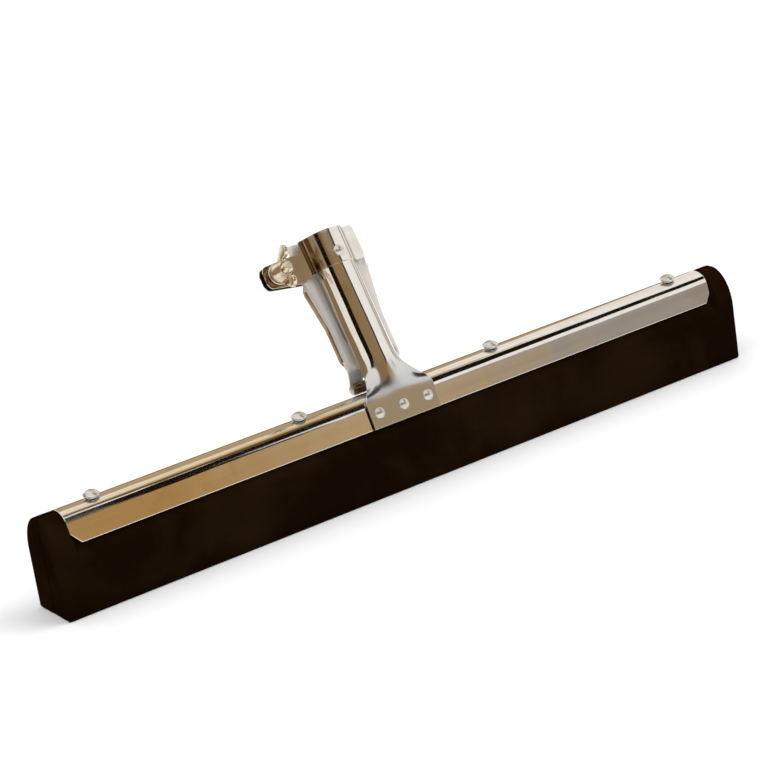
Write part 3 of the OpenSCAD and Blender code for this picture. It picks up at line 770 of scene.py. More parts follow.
class SQUEEGEE_OT_foam(Operator):
    """Moulds the two foam strips, squeezed in the channel and swollen at their bare ends."""
    bl_idname = "squeegee.foam"
    bl_label = "Foam strips"

    def section(self, free, side, inner, outer, top):
        """Section of a strip, from its squeezed form at free = 0 to its swollen end form at free = 1."""
        sizes = settings().foam
        channel = settings().channel
        low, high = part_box("frame_channel")
        tan = math.tan(channel.splay)
        crown = high.z - sizes.crown_gap
        lip = high.y - (channel.sheet + sizes.gap) / math.cos(channel.splay)
        neck = low.z - sizes.squeeze
        squeezed = [(outer, z) for z in spread(sizes.chamfer, neck, 5)]
        squeezed += [(mix(outer, lip, ease(k)), mix(neck, low.z, k)) for k in spread(0.2, 1, 5)]
        squeezed += [(lip - (z - low.z) * tan, z) for z in spread(low.z + sizes.squeeze / 3, crown, 4)]
        squeezed += [(mix(lip - (crown - low.z) * tan, inner, k), crown) for k in (0.3, 0.6, 1)]
        last = math.degrees(math.acos(inner / outer))
        swollen = [(outer, z) for z in spread(sizes.chamfer, sizes.shoulder, 5)]
        swollen += [(y, sizes.shoulder + (z - sizes.shoulder) * (top - sizes.shoulder) / outer)
                    for y, z in arc(0, sizes.shoulder, outer, last / 12, last, 12)]
        over = [(mix(a[0], b[0], free), mix(a[1], b[1], free)) for a, b in zip(squeezed, swollen)]
        bottom = [(inner, 0), (mix(inner, outer, 0.5), 0), (outer - sizes.chamfer, 0)]
        back = [(inner, mix(over[-1][1], 0, k)) for k in (0.3, 0.7)]
        return [(side * y, z) for y, z in bottom + over + back]

    def execute(self, context):
        sizes = settings().foam
        channel_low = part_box("frame_channel")[0]
        skin, cut = foam_skin(), lit_foam_cut()
        for side, node in ((-1, "front_foam_blade"), (1, "rear_foam_blade")):
            low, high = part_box(node)
            inner, outer = sorted((abs(low.y), abs(high.y)))
            bare = channel_low.x - low.x
            end = ((0, 1), (bare * 0.3, 1), (bare * 0.6, 1), (bare - 2 * sizes.gap, 0.97),
                   (bare + sizes.gap, 0), (bare + sizes.squeeze, 0))
            inset = bare + 4 * sizes.squeeze
            places = [(low.x + d, free) for d, free in end]
            places += [(x, 0) for x in spread(low.x + inset, high.x - inset, 25)]
            places += [(high.x - d, free) for d, free in end[::-1]]
            rows = []
            for x, free in places:
                rows.append([(x, y, z) for y, z in self.section(free, side, inner, outer, high.z)])
            bm = bmesh.new()
            caps = []
            for verts, edges in loft(bm, rows, closed=True):
                # the caps take the second material, the cut ends' painted light
                caps += bmesh.ops.contextual_create(bm, geom=edges, mat_nr=1)["faces"]
            round_edges(bm, list({e for face in caps for e in face.edges}), sizes.edge, 3)
            bmesh.ops.recalc_face_normals(bm, faces=bm.faces)
            name = node.replace("_blade", "")
            piece = finish_piece(name, bm, [skin, cut], "frame", [node], sharp=50)
        return {"FINISHED"}


class SQUEEGEE_OT_retainer_strip(Operator):
    """Finishes the retainer strip between the foam strips."""
    bl_idname = "squeegee.retainer_strip"
    bl_label = "Retainer strip"

    def execute(self, context):
        strip = frame["nodes"]["retainer_strip"]
        strip.data.materials.clear()
        strip.data.materials.append(bare_steel("strip_steel"))
        return {"FINISHED"}


class SQUEEGEE_OT_crown_rivets(Operator):
    """Turns the crown rivets and their washers."""
    bl_idname = "squeegee.crown_rivets"
    bl_label = "Crown rivets"

    def execute(self, context):
        sizes = settings().channel
        low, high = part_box("crown_rivets")
        head_z = high.z - sizes.head_h
        washer_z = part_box("crown_rivet_washers")[0].z
        row = row_of(sizes.rivet_count, sizes.rivet_pitch)
        places = [Matrix.Translation((x, 0, head_z)) for x in row]
        head = dome_profile(sizes.head_d, sizes.head_h, sizes.shank_d, head_z - low.z, 0.3)
        steel = rivet_steel()
        turned_pieces("crown_rivet_heads", head, places, steel, "frame", "crown_rivets", 40)
        places = [Matrix.Translation((x, 0, washer_z)) for x in row]
        soft = sizes.washer_h / 5
        ring = ring_profile(sizes.shank_d / 2, sizes.washer_d / 2, 0, sizes.washer_h, soft)
        turned_pieces(
            "crown_washers", ring, places, bare_steel("washer_steel"), "frame",
            "crown_rivet_washers", 40, closed=True,
        )
        return {"FINISHED"}


class SQUEEGEE_OT_front_shell(Operator):
    """Presses the front shell: a flat foot that folds up into a half-round tube."""
    bl_idname = "squeegee.front_shell"
    bl_label = "Front shell"

    def execute(self, context):
        sizes = settings().socket
        flange = flange_frame(True)
        socket = socket_frame()
        face = -sizes.seat - sizes.sheet
        tube_r = sizes.bore_d / 2 + sizes.sheet
        turn = math.acos(sizes.front_setback / tube_r)
        across = spread(-1, 1, 41)
        tube = [(tube_r * math.sin(s * turn), -tube_r * math.cos(s * turn)) for s in across]
        soft = 0.06  # share of the foot and of the skirt that is left free for the bend between them
        rows = []
        for t in spread(0, sizes.foot_h * (1 - soft), 6):
            rows.append([flange @ Vector((s * sizes.foot_w / 2, face, t)) for s in across])
        for u in spread(soft, 1, 16):
            draw = 1 - (1 - u) ** 2
            fold = ease(u)
            t = mix(sizes.foot_h, sizes.skirt_top, u) - sizes.height
            row = []
            for s, (tube_x, tube_y) in zip(across, tube):
                x = mix(s * sizes.foot_w / 2, tube_x, draw)
                y = mix(face - sizes.axis_back, tube_y, fold)
                row.append(socket @ Vector((x, y, t)))
            rows.append(row)
        for t in spread(sizes.skirt_top - sizes.height, 0, 12)[1:]:
            rows.append([socket @ Vector((x, y, t)) for x, y in tube])
        bm = bmesh.new()
        loft(bm, rows)
        face_towards(bm, (0, -1, 0))
        plate = [socket_plate()]
        thin_sheet("front_socket_half", bm, plate, "frame", "front_shell", sizes.sheet)
        row = row_of(3, sizes.rivet_pitch)
        outer = face - sizes.seat
        sheet_rivets(
            "foot_rivets", flange, -1, row, outer, sizes.rivet_t, sizes.sheet, "frame", "front_shell_rivets"
        )
        return {"FINISHED"}


class SQUEEGEE_OT_hinge(Operator):
    """Makes the hinge bracket with its rolled knuckle, its rivets and the hinge pin."""
    bl_idname = "squeegee.hinge"
    bl_label = "Rear hinge"

    def execute(self, context):
        sizes = settings().socket
        flange = flange_frame(False)
        pin = flange.inverted() @ pin_centre()
        tab = sizes.mid_knuckle / 2
        half = sizes.leaf_w / 2
        leaf_h = pin.z - sizes.knuckle_r - 2 * sizes.clear
        across = spread(-half, -tab, 5) + spread(-tab, tab, 7)[1:-1] + spread(tab, half, 5)
        bm = bmesh.new()
        plate = [[flange @ Vector((x, sizes.seat, t)) for x in across] for t in spread(0, leaf_h, 5)]
        verts, edges = loft(bm, plate)[1]
        middle = [v for v, x in zip(verts, across) if abs(x) <= tab + MERGE]
        tongue = [e for e in edges if e.verts[0] in middle and e.verts[1] in middle]
        roll = pin.y - sizes.knuckle_r
        for k in (0.5, 1.0):
            y, t = mix(sizes.seat, roll, ease(k)), mix(leaf_h, pin.z, k)
            points = [flange @ Vector((x, y, t)) for x in across if abs(x) <= tab + MERGE]
            middle, tongue = extrude_to(bm, middle, tongue, points)
        roll_knuckle(bm, middle, tongue)
        bmesh.ops.remove_doubles(bm, verts=bm.verts, dist=MERGE)
        face_towards(bm, flange.to_3x3() @ Vector((0, -1, 0)))
        thin_sheet("hinge_leaf", bm, [socket_plate()], "frame", "hinge_bracket", sizes.sheet)
        row = row_of(3, sizes.leaf_pitch)
        outer = sizes.sheet + 2 * sizes.seat
        sheet_rivets(
            "leaf_rivets", flange, 1, row, outer, sizes.leaf_t, sizes.sheet, "frame", "bracket_rivets"
        )
        low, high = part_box("hinge_pin")
        reach = (high.x - low.x) / 2
        under = reach - sizes.pin_head_h
        head = sizes.pin_head_d / 2
        soft = sizes.pin_head_h / 3
        rim = [(head - 2 * soft, reach), (head, reach - soft), (head, under)]
        end = [(0, reach)] + rim + [(sizes.pin_d / 2, under)]
        whole = end + [(r, -z) for r, z in end[::-1]]
        along = Matrix.Translation(pin_centre()) @ Matrix.Rotation(math.radians(90), 4, "Y")
        steel = bare_steel("pin_steel")
        turned_pieces("hinge_pivot", whole, [along], steel, "frame", "hinge_pin")
        return {"FINISHED"}


class SQUEEGEE_OT_rear_shell(Operator):
    """Presses the rear shell: a plate with a half-round bulge, turned edges, a leg and rolled knuckles."""
    bl_idname = "squeegee.rear_shell"
    bl_label = "Rear shell"

    def bulge(self, x, t):
        """Depth of the plate's rear face behind the handle axis."""
        sizes = settings().socket
        plate = sizes.rear_setback + sizes.sheet
        nose = (sizes.nose_t - t) / sizes.nose_h
        tube_r = sizes.bore_d / 2 + sizes.sheet
        r = tube_r * math.cos(math.pi / 2 * min(max(nose, 0), 1) ** sizes.nose_curve)
        round_y = math.sqrt(max(r * r - x * x, 0))
        soft = math.sqrt((plate - round_y) ** 2 + sizes.blend ** 2)
        return (plate + round_y + soft) / 2 - sizes.blend / 20

    def half_width(self, t):
        """Half width of the plate, which flares from its waist up to the collar."""
        sizes = settings().socket
        clamp = settings().clamp
        band_t = sizes.height - clamp.band_h
        flare = (t - sizes.waist_t) / (band_t - sizes.waist_t)
        width = mix(sizes.leg_w, sizes.rear_w, min(max(flare, 0), 1)) / 2
        top = sizes.height - clamp.ear_high
        return mix(width, clamp.tab_reach, max(0, (t - top) / clamp.ear_high))

    def execute(self, context):
        sizes = settings().socket
        clamp = settings().clamp
        socket = socket_frame()
        pin = pin_centre()
        gap = sizes.mid_knuckle / 2 + sizes.clear
        tube_r = sizes.bore_d / 2 + sizes.sheet
        core = [tube_r * math.sin(math.radians(a)) for a in spread(-90, 90, 25)]
        core = sorted([x for x in core if abs(abs(x) - gap) > LEAST_STEP] + [-gap, gap])
        rim = tube_r * 1.12
        leg_face = pin.y + sizes.knuckle_r
        plate_y = sizes.rear_setback + sizes.sheet
        inverse = socket.inverted()
        foot = inverse @ Vector((pin.x, leg_face, pin.z))
        drop = (foot.y - plate_y) / (inverse.to_3x3() @ Vector((0, 0, 1))).y
        knee = inverse @ Vector((pin.x, leg_face, pin.z - drop))
        turn_top = sizes.height - clamp.band_h - clamp.ear_low - 2 * sizes.clear
        leg_t = knee.z + sizes.height

        def across(half):
            """Places across the sheet, from the left edge to the right one."""
            sides = [rim, mix(rim, half, 0.5), half - 2 * sizes.edge_r]
            return [-x for x in sides[::-1]] + core + sides

        def edges_of(half, turned):
            """Places and depths of the side edge, flat at turned = 0 and turned to the rear at 1."""
            full = sizes.turn_d - sizes.sheet
            flat = [(half - sizes.edge_r, 0), (half - sizes.edge_r / 2, 0), (half, 0)]
            folded = [(half - sizes.edge_r / 4, sizes.edge_r / 4), (half, sizes.edge_r), (half, full)]
            return [(mix(a[0], b[0], turned), mix(a[1], b[1], turned)) for a, b in zip(flat, folded)]

        rows = []
        for t in spread(sizes.height, leg_t + sizes.knee_upper, 34):
            half = self.half_width(t)
            upper, lower = ease((turn_top - t) / sizes.turn_upper), ease((t - leg_t) / sizes.turn_lower)
            turned = edges_of(half, upper * lower)
            row = [Vector((-x, plate_y + d, t - sizes.height)) for x, d in turned[::-1]]
            row += [Vector((x, self.bulge(x, t), t - sizes.height)) for x in across(half)]
            row += [Vector((x, plate_y + d, t - sizes.height)) for x, d in turned]
            rows.append([socket @ p for p in row])
        half = sizes.leg_w / 2
        side = [x for x, d in edges_of(half, 0)]
        flat = [-x for x in side[::-1]] + across(half) + side
        knee_z = (socket @ knee).z - sizes.knee_lower
        gap_z = pin.z + sizes.knuckle_r + 2 * sizes.clear
        for z in spread(knee_z, gap_z, 5):
            rows.append([Vector((pin.x + x, leg_face, z)) for x in flat])
        bm = bmesh.new()
        edges = loft(bm, rows)[1][1]
        tongues = [e for e in edges if all(abs(v.co.x - pin.x) > gap - MERGE for v in e.verts)]
        ends = sorted({v for e in tongues for v in e.verts}, key=lambda v: v.co.x)
        level = [Vector((v.co.x, leg_face, pin.z)) for v in ends]
        ends, tongues = extrude_to(bm, ends, tongues, level)
        roll_knuckle(bm, ends, tongues)
        bmesh.ops.remove_doubles(bm, verts=bm.verts, dist=MERGE)
        face_towards(bm, (0, 1, 0))
        # turned edges and knuckles take the second finish, brown painted reflection and shade
        for face in bm.faces:
            spot = face.calc_center_median()
            place = inverse @ spot
            beyond = abs(place.x) - self.half_width(place.z + sizes.height)
            on_knuckle = (spot - pin).yz.length < sizes.knuckle_r + MERGE
            face.material_index = 1 if on_knuckle or beyond > -sizes.edge_r / 5 else 0
        finishes = [satin_plate(), painted_light_brown_plate()]
        thin_sheet("rear_socket_half", bm, finishes, "rear_jaw", "rear_shell", sizes.sheet)
        return {"FINISHED"}


class SQUEEGEE_OT_collar(Operator):
    """Bends the two collar bands with their ears and tabs, and turns their rivets."""
    bl_idname = "squeegee.collar"
    bl_label = "Collar bands"

    def path(self, setback, radius, side):
        """Outer face of a band seen along the handle, from the ear's tip round the tube to the tab's end."""
        clamp = settings().clamp
        root = clamp.root
        reach = math.sqrt((radius + root) ** 2 - (setback + root) ** 2)
        meet = math.degrees(math.atan2(setback + root, reach))
        flat = reach + clamp.root_flat
        ear = [(-x, -setback) for x in spread(clamp.ear_reach, flat, 27)]
        bend = arc(-reach, -setback - root, root, 90, meet, 7)
        round_part = arc(0, 0, radius, 180 + meet, 360 - meet, 29)
        other = [(-x, y) for x, y in bend[::-1]]
        tab = [(x, -setback) for x in spread(flat, clamp.tab_reach, 4)]
        points = ear + bend[:-1] + round_part + other[1:] + tab
        return [(x, y * side) for x, y in points]

    def limits(self, x):
        """Lower and upper edge of a band at a place across it, measured from the mouth."""
        clamp = settings().clamp
        half = settings().socket.rear_w / 2
        root = settings().socket.bore_d / 2 + clamp.sheet + clamp.root
        low, high = -clamp.band_h, 0.0
        if x < -root:
            out = (-x - root) / (clamp.ear_reach - root)
            fall = 1 - (1 - ease((-x - root) / clamp.root)) ** 2
            high = mix(-clamp.ear_high * fall, -clamp.bolt_down + clamp.ear_tip_h / 2, out)
            low -= clamp.ear_low * ease((-x - root) / (half - root))
        if x < -half:
            rise = (-x - half) / (clamp.ear_reach - half)
            low = mix(low, -clamp.bolt_down - clamp.ear_tip_h / 2, rise)
        past = max(0, -x - clamp.ear_reach + clamp.ear_round, x - clamp.tab_reach + clamp.ear_round / 2)
        size = clamp.ear_round if x < 0 else clamp.ear_round / 2
        corner = size - math.sqrt(max(size * size - past * past, 0))
        return low + corner, high - corner

    def open_hole(self, bm, radius):
        """Opens the bolt's hole in an ear: takes out the faces there and sets their rim on a circle."""
        bolt = bolt_frame()
        inverse = bolt.inverted()
        outline = {v for v in bm.verts if v.is_boundary}
        room = radius + settings().clamp.slack
        near = [f for f in bm.faces if (inverse @ f.calc_center_median()).xy.length < room]
        bmesh.ops.delete(bm, geom=near, context="FACES")
        rim = [v for v in bm.verts if v.is_boundary and v not in outline]
        rim.sort(key=lambda v: math.atan2(*(inverse @ v.co).yx))
        depth = (inverse @ rim[0].co).z
        for vert, (x, y) in zip(rim, arc(0, 0, radius, -180, 180, len(rim) + 1)):
            vert.co = bolt @ Vector((x, y, depth))

    def execute(self, context):
        clamp = settings().clamp
        shell = settings().socket
        socket = socket_frame()
        radius = shell.bore_d / 2 + shell.sheet + shell.seat + clamp.sheet
        plate = collar_plate()
        rear_back = shell.rear_setback + shell.sheet + shell.seat + clamp.sheet
        bands = (
            ("front_collar", "front_clamp_band", "frame", shell.front_setback + clamp.sheet, 1),
            ("rear_collar", "rear_clamp_band", "rear_jaw", rear_back, -1),
        )
        for name, node, body, setback, side in bands:
            path = self.path(setback, radius, side)
            rows = []
            for k in spread(0, 1, 13):
                rows.append([socket @ Vector((x, y, mix(*self.limits(x), k))) for x, y in path])
            bm = bmesh.new()
            loft(bm, rows)
            if name == "front_collar":
                self.open_hole(bm, clamp.bolt_d / 2 + clamp.slack)
            out = socket.to_3x3() @ Vector((0, -side, 0))
            face_towards(bm, out, socket @ Vector((0, -side * radius, -clamp.band_h / 2)))
            thin_sheet(name, bm, [plate], body, node, clamp.sheet)
        front = -radius - shell.seat
        rear = rear_back + shell.seat
        beside = (clamp.tab_reach + shell.bore_d / 2 + shell.sheet) / 2
        rivets = (
            ("front_collar_rivet", -1, [0], front, "frame", "front_band_rivet"),
            ("rear_collar_rivets", 1, [-beside, beside], rear, "rear_jaw", "rear_band_rivets"),
        )
        for name, side, across, depth, body, node in rivets:
            sheet_rivets(name, socket, side, across, depth, -clamp.bolt_down, clamp.sheet / 2, body, node)
        return {"FINISHED"}


class SQUEEGEE_OT_bolt(Operator):
    """Turns the clamp bolt with its round head, square neck and thread."""
    bl_idname = "squeegee.bolt"
    bl_label = "Clamp bolt"

    def execute(self, context):
        clamp = settings().clamp
        shell = settings().socket
        bolt = bolt_frame()
        tip = nut_seat() + clamp.hub_h + clamp.proud
        back = -(shell.axis_back + shell.rear_setback + shell.sheet + 2 * shell.seat + clamp.sheet)
        core = clamp.bolt_d / 2 - clamp.thread_h
        bm = bmesh.new()
        rear = bolt @ Matrix.Translation((0, 0, back))
        head = dome_profile(clamp.bolt_head_d, clamp.bolt_head_h, core * 2, clamp.sheet / 2, 0.2)
        lathe(bm, head, rear @ Matrix.Rotation(math.pi, 4, "X"), 40)
        neck = bmesh.ops.create_cube(bm, size=clamp.bolt_d)["verts"]
        squeeze = Matrix.Diagonal((1, 1, 2 * clamp.sheet / clamp.bolt_d, 1))
        bmesh.ops.transform(bm, matrix=rear @ squeeze, verts=neck)
        cone = tip - clamp.thread_h
        shaft = [(0, back), (core, back), (core, cone), (core - clamp.thread_h, tip), (0, tip)]
        lathe(bm, shaft, bolt, 24)
        start = back + 2 * clamp.sheet
        turns = int((cone - start) / clamp.pitch) - 1
        before = set(bm.verts)
        root, crest = core - clamp.thread_h / 4, core + clamp.thread_h
        tooth = ((root, 0), (crest, 0.42), (crest, 0.56), (root, 0.98))
        verts, edges = chain(bm, [(r, 0, clamp.pitch * k) for r, k in tooth], closed=True)
        end = bmesh.ops.contextual_create(bm, geom=edges)["faces"]
        steps = 20
        rise = Vector((0, 0, clamp.pitch / steps))
        bmesh.ops.spin(
            bm, geom=verts + edges + end, cent=(0, 0, 0), axis=(0, 0, 1), dvec=rise,
            angle=math.tau * turns, steps=steps * turns,
        )
        thread = [v for v in bm.verts if v not in before]
        bmesh.ops.transform(bm, matrix=bolt @ Matrix.Translation((0, 0, start)), verts=thread)
        bmesh.ops.recalc_face_normals(bm, faces=bm.faces)
        finish_piece("collar_bolt", bm, [fastener_zinc()], "rear_jaw", ["clamp_bolt"])
        return {"FINISHED"}


class SQUEEGEE_OT_washers(Operator):
    """Makes the flat washer and the split spring washer."""
    bl_idname = "squeegee.washers"
    bl_label = "Clamp washers"

    def execute(self, context):
        clamp = settings().clamp
        bolt = bolt_frame()
        bore = clamp.bolt_d / 2 + clamp.running
        h = clamp.washer_h / 2
        ring = ring_profile(bore, clamp.washer_d / 2, -h, h, clamp.washer_h / 5)
        place = bolt @ Matrix.Translation((0, 0, place_along(bolt, "clamp_washer")))
        turned_pieces(
            "flat_washer", ring, [place], fastener_zinc(), "nut_washers", "clamp_washer", 40,
            closed=True,
        )
        r = clamp.lock_d / 2
        h = clamp.lock_h / 2
        soft = clamp.lock_h / 6
        section = ring_profile(bore, r, soft - h, h - 2 * soft, soft)
        bm = bmesh.new()
        verts, edges = chain(bm, [(x, 0, z) for x, z in section], closed=True)
        end = bmesh.ops.contextual_create(bm, geom=edges)["faces"]
        open_turn = clamp.lock_cut / r
        steps = 44
        bmesh.ops.spin(
            bm, geom=verts + edges + end, cent=(0, 0, 0), axis=(0, 0, 1), dvec=(0, 0, soft / steps),
            angle=math.tau - open_turn, steps=steps,
        )
        turn = Matrix.Rotation(open_turn / 2, 4, "Z")
        place = bolt @ Matrix.Translation((0, 0, place_along(bolt, "lock_washer"))) @ turn
        bmesh.ops.transform(bm, matrix=place, verts=bm.verts)
        bmesh.ops.recalc_face_normals(bm, faces=bm.faces)
        steel = bare_steel("spring_steel")
        finish_piece("spring_washer", bm, [steel], "nut_washers", ["lock_washer"])
        return {"FINISHED"}


class SQUEEGEE_OT_wing_nut(Operator):
    """Casts the wing nut: a tapered hub with two rounded wings."""
    bl_idname = "squeegee.wing_nut"
    bl_label = "Wing nut"

    def execute(self, context):
        clamp = settings().clamp
        seat = bolt_frame() @ Matrix.Translation((0, 0, nut_seat()))
        place = seat @ Matrix.Rotation(clamp.wing_turn, 4, "Z")
        bore = clamp.bolt_d / 2 + clamp.running
        base = clamp.hub_d / 2
        high = clamp.hub_h
        soft = high / 14
        top = base - 2 * soft
        hub = [(bore + soft, 0), (base - soft, 0), (base, soft), (base, high / 4), (top, high - 2 * soft),
               (top - soft, high), (bore + soft, high), (bore, high - soft), (bore, soft)]
        bm = bmesh.new()
        lathe(bm, hub, place, 40, closed=True)
        tip_x = clamp.wing_reach - clamp.wing_tip_r
        tip_z = high + clamp.wing_tip_r - clamp.wing_drop
        inside = bore + clamp.wing_root
        tip = arc(tip_x, tip_z, clamp.wing_tip_r, -38, 142, 15)
        saddle = [(mix(inside, tip_x, 0.25), high), (inside, high - soft)]
        outline = [(inside, soft), (base, soft)] + tip + saddle
        for side in (0, math.pi):
            before = set(bm.verts)
            edges = chain(bm, [(x, -clamp.wing_t / 2, z) for x, z in outline], closed=True)[1]
            cap = bmesh.ops.contextual_create(bm, geom=edges)["faces"]
            made = bmesh.ops.extrude_face_region(bm, geom=cap, use_keep_orig=True)["geom"]
            raised = [v for v in made if isinstance(v, bmesh.types.BMVert)]
            bmesh.ops.translate(bm, vec=(0, clamp.wing_t, 0), verts=raised)
            wing = [v for v in bm.verts if v not in before]
            sides = {f for v in wing for f in v.link_faces if len(f.verts) > 4}
            round_edges(bm, list({e for f in sides for e in f.edges}), clamp.wing_edge, 4)
            wing = [v for v in bm.verts if v not in before]
            bmesh.ops.transform(bm, matrix=place @ Matrix.Rotation(side, 4, "Z"), verts=wing)
        bmesh.ops.recalc_face_normals(bm, faces=bm.faces)
        finish_piece("collar_wing_nut", bm, [fastener_zinc()], "nut", ["wing_nut"])
        return {"FINISHED"}


# Stage

def aim(turn, height):
    """Direction at a turn to the right of the front and a height above the horizon."""
    return Vector((math.sin(turn) * math.cos(height), -math.cos(turn) * math.cos(height), math.sin(height)))


def toned_world(strength):
    """White surroundings for the camera and for reflections, soft daylight on everything else."""
    world = bpy.data.worlds.new("studio")
    bpy.context.scene.world = world
    world.use_nodes = True
    tree = world.node_tree
    path = tree.nodes.new("ShaderNodeLightPath")
    seen = tree.nodes.new("ShaderNodeMath")
    seen.operation = "MAXIMUM"
    tree.links.new(path.outputs["Is Camera Ray"], seen.inputs[0])
    tree.links.new(path.outputs["Is Glossy Ray"], seen.inputs[1])
    level = tree.nodes.new("ShaderNodeMapRange")
    level.inputs["To Min"].default_value = strength
    tree.links.new(seen.outputs[0], level.inputs["Value"])
    tree.links.new(level.outputs[0], tree.nodes["Background"].inputs["Strength"])
    tree.nodes["Background"].inputs["Color"].default_value = (1, 1, 1, 1)


def floor_material(lift):
    """White floor that keeps shadows, lifted to white for the camera and for reflections."""
    finish = Finish("floor_white")
    path = finish.add("ShaderNodeLightPath").outputs
    seen = finish.most(path["Is Camera Ray"], path["Is Glossy Ray"])
    finish.set(
        Base_Color=(0.9, 0.9, 0.9, 1),
        Roughness=0.9,
        Specular_IOR_Level=0.0,
        Emission_Color=(1, 1, 1, 1),
        Emission_Strength=finish.spans(seen, 0.0, 1.0, 0.0, lift),
    )
    return finish.material


def panel(name, left, right, low, high, tone, room):
    """Curved studio panel that only reflections see, between two turns and two heights in degrees."""
    finish = Finish(name)
    finish.set(
        Base_Color=(0, 0, 0, 1), Specular_IOR_Level=0.0, Emission_Color=rgba(tone), Emission_Strength=1.0
    )
    turns = spread(math.radians(left), math.radians(right), 13)
    heights = spread(math.radians(low), math.radians(high), 7)
    bm = bmesh.new()
    loft(bm, [[aim(turn, height) * room for turn in turns] for height in heights])
    piece = mesh_object(name, bm, [finish.material])
    piece.visible_camera = False
    piece.visible_diffuse = False
    piece.visible_shadow = False


def soft_lamp(name, turn, height, breadth, strength):
    """Soft distant lamp at a turn and a height, with its breadth, all in degrees."""
    data = bpy.data.lights.new(name, "SUN")
    data.angle = math.radians(breadth)
    data.energy = strength
    lamp = bpy.data.objects.new(name, data)
    bpy.context.scene.collection.objects.link(lamp)
    lamp.location = aim(math.radians(turn), math.radians(height))
    lamp.rotation_euler = lamp.location.to_track_quat("Z", "Y").to_euler()
    lamp.visible_glossy = False


GOLDEN = Vector((0.46, 0.27, 0.1))
TAN = Vector((0.52, 0.38, 0.21))
GREY = Vector((0.38, 0.345, 0.31))
BROWN = Vector((0.3, 0.2, 0.105))
UMBER = Vector((0.15, 0.095, 0.045))
DARK = Vector((0.012, 0.008, 0.004))
AMBER = Vector((0.62, 0.46, 0.22))
CREAM = Vector((0.92, 0.77, 0.53))
PINK = Vector((1.0, 0.93, 0.88))
ROOM = 3.0
CARD = 1.0
PANELS = (
    ("golden_wall", -40, 25, 8, 27, GOLDEN, ROOM),
    ("golden_tan_wall", 25, 28, 8, 27, GOLDEN.lerp(TAN, 0.5), ROOM),
    ("tan_wall", 28, 33, 8, 27, TAN, ROOM),
    ("tan_grey_wall", 33, 36, 8, 25, TAN.lerp(GREY, 0.5), ROOM),
    ("grey_wall", 36, 56, 8, 22, GREY, ROOM),
    ("brown_wall", -43, 24, 27, 44, BROWN, ROOM),
    ("dark_post", 24, 32, 27, 41, DARK, ROOM),
    ("dark_beam", 24, 78, 41, 59, DARK, ROOM),
    ("umber_ceiling", 50, 96, 59, 80, UMBER, ROOM),
    ("amber_ceiling", 96, 124, 56, 76, AMBER, ROOM),
    ("cream_ceiling", 124, 146, 49, 64, CREAM, ROOM),
    ("pink_rear", 102, 140, 8, 48, PINK, ROOM),
    ("tan_rear", 141, 172, 12, 48, TAN, ROOM),
    ("umber_rear", 141, 172, 0.2, 12, UMBER, ROOM),
    ("left_dark", -66, -43, 2, 44, DARK, ROOM),
    ("left_brown", -150, -96, 0.2, 44, BROWN, ROOM),
    ("left_card", -150, -94, 0.2, 20, BROWN, CARD / 3),
    ("right_wall", 80, 100, 0.2, 14, GREY * 1.5, ROOM),
    ("right_card", 96, 138, 0.2, 6.5, GREY, CARD),
)
LAMPS = (
    ("key_lamp", 62, 50, 40, 1.1),
    ("fill_lamp", -70, 40, 50, 0.5),
    ("top_lamp", 170, 70, 50, 0.5),
)


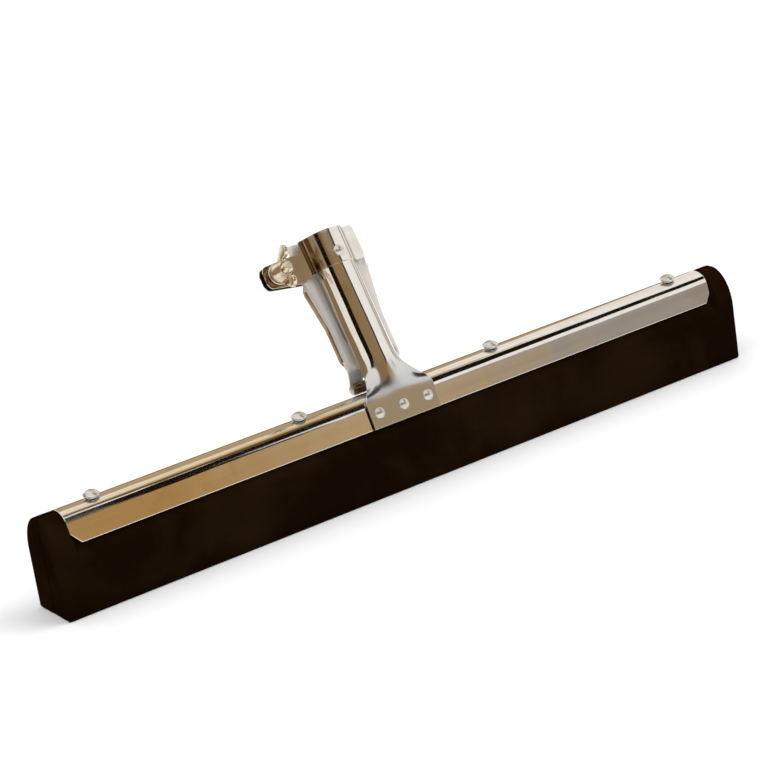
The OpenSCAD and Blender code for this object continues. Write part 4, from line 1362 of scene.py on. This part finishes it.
class SQUEEGEE_OT_stage(Operator):
    """Sets up the floor, the studio panels, the lamps and the camera."""
    bl_idname = "squeegee.stage"
    bl_label = "Stage"

    def execute(self, context):
        stage = settings().stage
        context.scene.view_settings.view_transform = "Standard"
        toned_world(stage.daylight)
        bm = bmesh.new()
        bmesh.ops.create_grid(bm, x_segments=1, y_segments=1, size=stage.floor / 2)
        floor = mesh_object("floor", bm, [floor_material(stage.floor_lift)])
        for row in PANELS:
            panel(*row)
        for row in LAMPS:
            soft_lamp(*row)
        self.camera(stage)
        return {"FINISHED"}

    def camera(self, stage):
        """Puts the camera where the photograph was taken from."""
        out = aim(-stage.azimuth, stage.elevation)
        level = Vector((math.cos(stage.azimuth), -math.sin(stage.azimuth), 0))
        upright = level.cross(-out)
        right = math.cos(stage.roll) * level + math.sin(stage.roll) * upright
        up = -math.sin(stage.roll) * level + math.cos(stage.roll) * upright
        target = Vector((0, 0, stage.target_z))
        eye = target + out * stage.distance - right * stage.shift_right - up * stage.shift_up
        data = bpy.data.cameras.new("camera")
        data.lens = stage.lens
        data.sensor_width = stage.sensor
        data.clip_end = stage.sight
        camera = bpy.data.objects.new("camera", data)
        bpy.context.scene.collection.objects.link(camera)
        camera.matrix_world = Matrix.Translation(eye) @ Matrix((right, up, out)).transposed().to_4x4()
        bpy.context.scene.camera = camera


PIECES = (
    SQUEEGEE_OT_channel, SQUEEGEE_OT_foam, SQUEEGEE_OT_retainer_strip, SQUEEGEE_OT_crown_rivets,
    SQUEEGEE_OT_front_shell, SQUEEGEE_OT_hinge, SQUEEGEE_OT_rear_shell, SQUEEGEE_OT_collar,
    SQUEEGEE_OT_bolt, SQUEEGEE_OT_washers, SQUEEGEE_OT_wing_nut, SQUEEGEE_OT_stage,
)


class SQUEEGEE_PT_panel(Panel):
    """Lists the squeegee's pieces."""
    bl_idname = "SQUEEGEE_PT_panel"
    bl_label = "Floor squeegee"
    bl_space_type = "VIEW_3D"
    bl_region_type = "UI"
    bl_category = "Squeegee"

    def draw(self, context):
        for piece in PIECES:
            self.layout.operator(piece.bl_idname)


CLASSES = (
    ChannelSizes, FoamSizes, SocketSizes, ClampSizes, FinishColours, StageSettings, SqueegeeSettings,
    *PIECES, SQUEEGEE_PT_panel,
)


def register():
    for cls in CLASSES:
        bpy.utils.register_class(cls)
    bpy.types.Scene.squeegee = PointerProperty(type=SqueegeeSettings)


def unregister():
    del bpy.types.Scene.squeegee
    for cls in reversed(CLASSES):
        bpy.utils.unregister_class(cls)


def main():
    register()
    for piece in PIECES:
        group, name = piece.bl_idname.split(".")
        getattr(getattr(bpy.ops, group), name)()


if __name__ == "__main__":
    main()
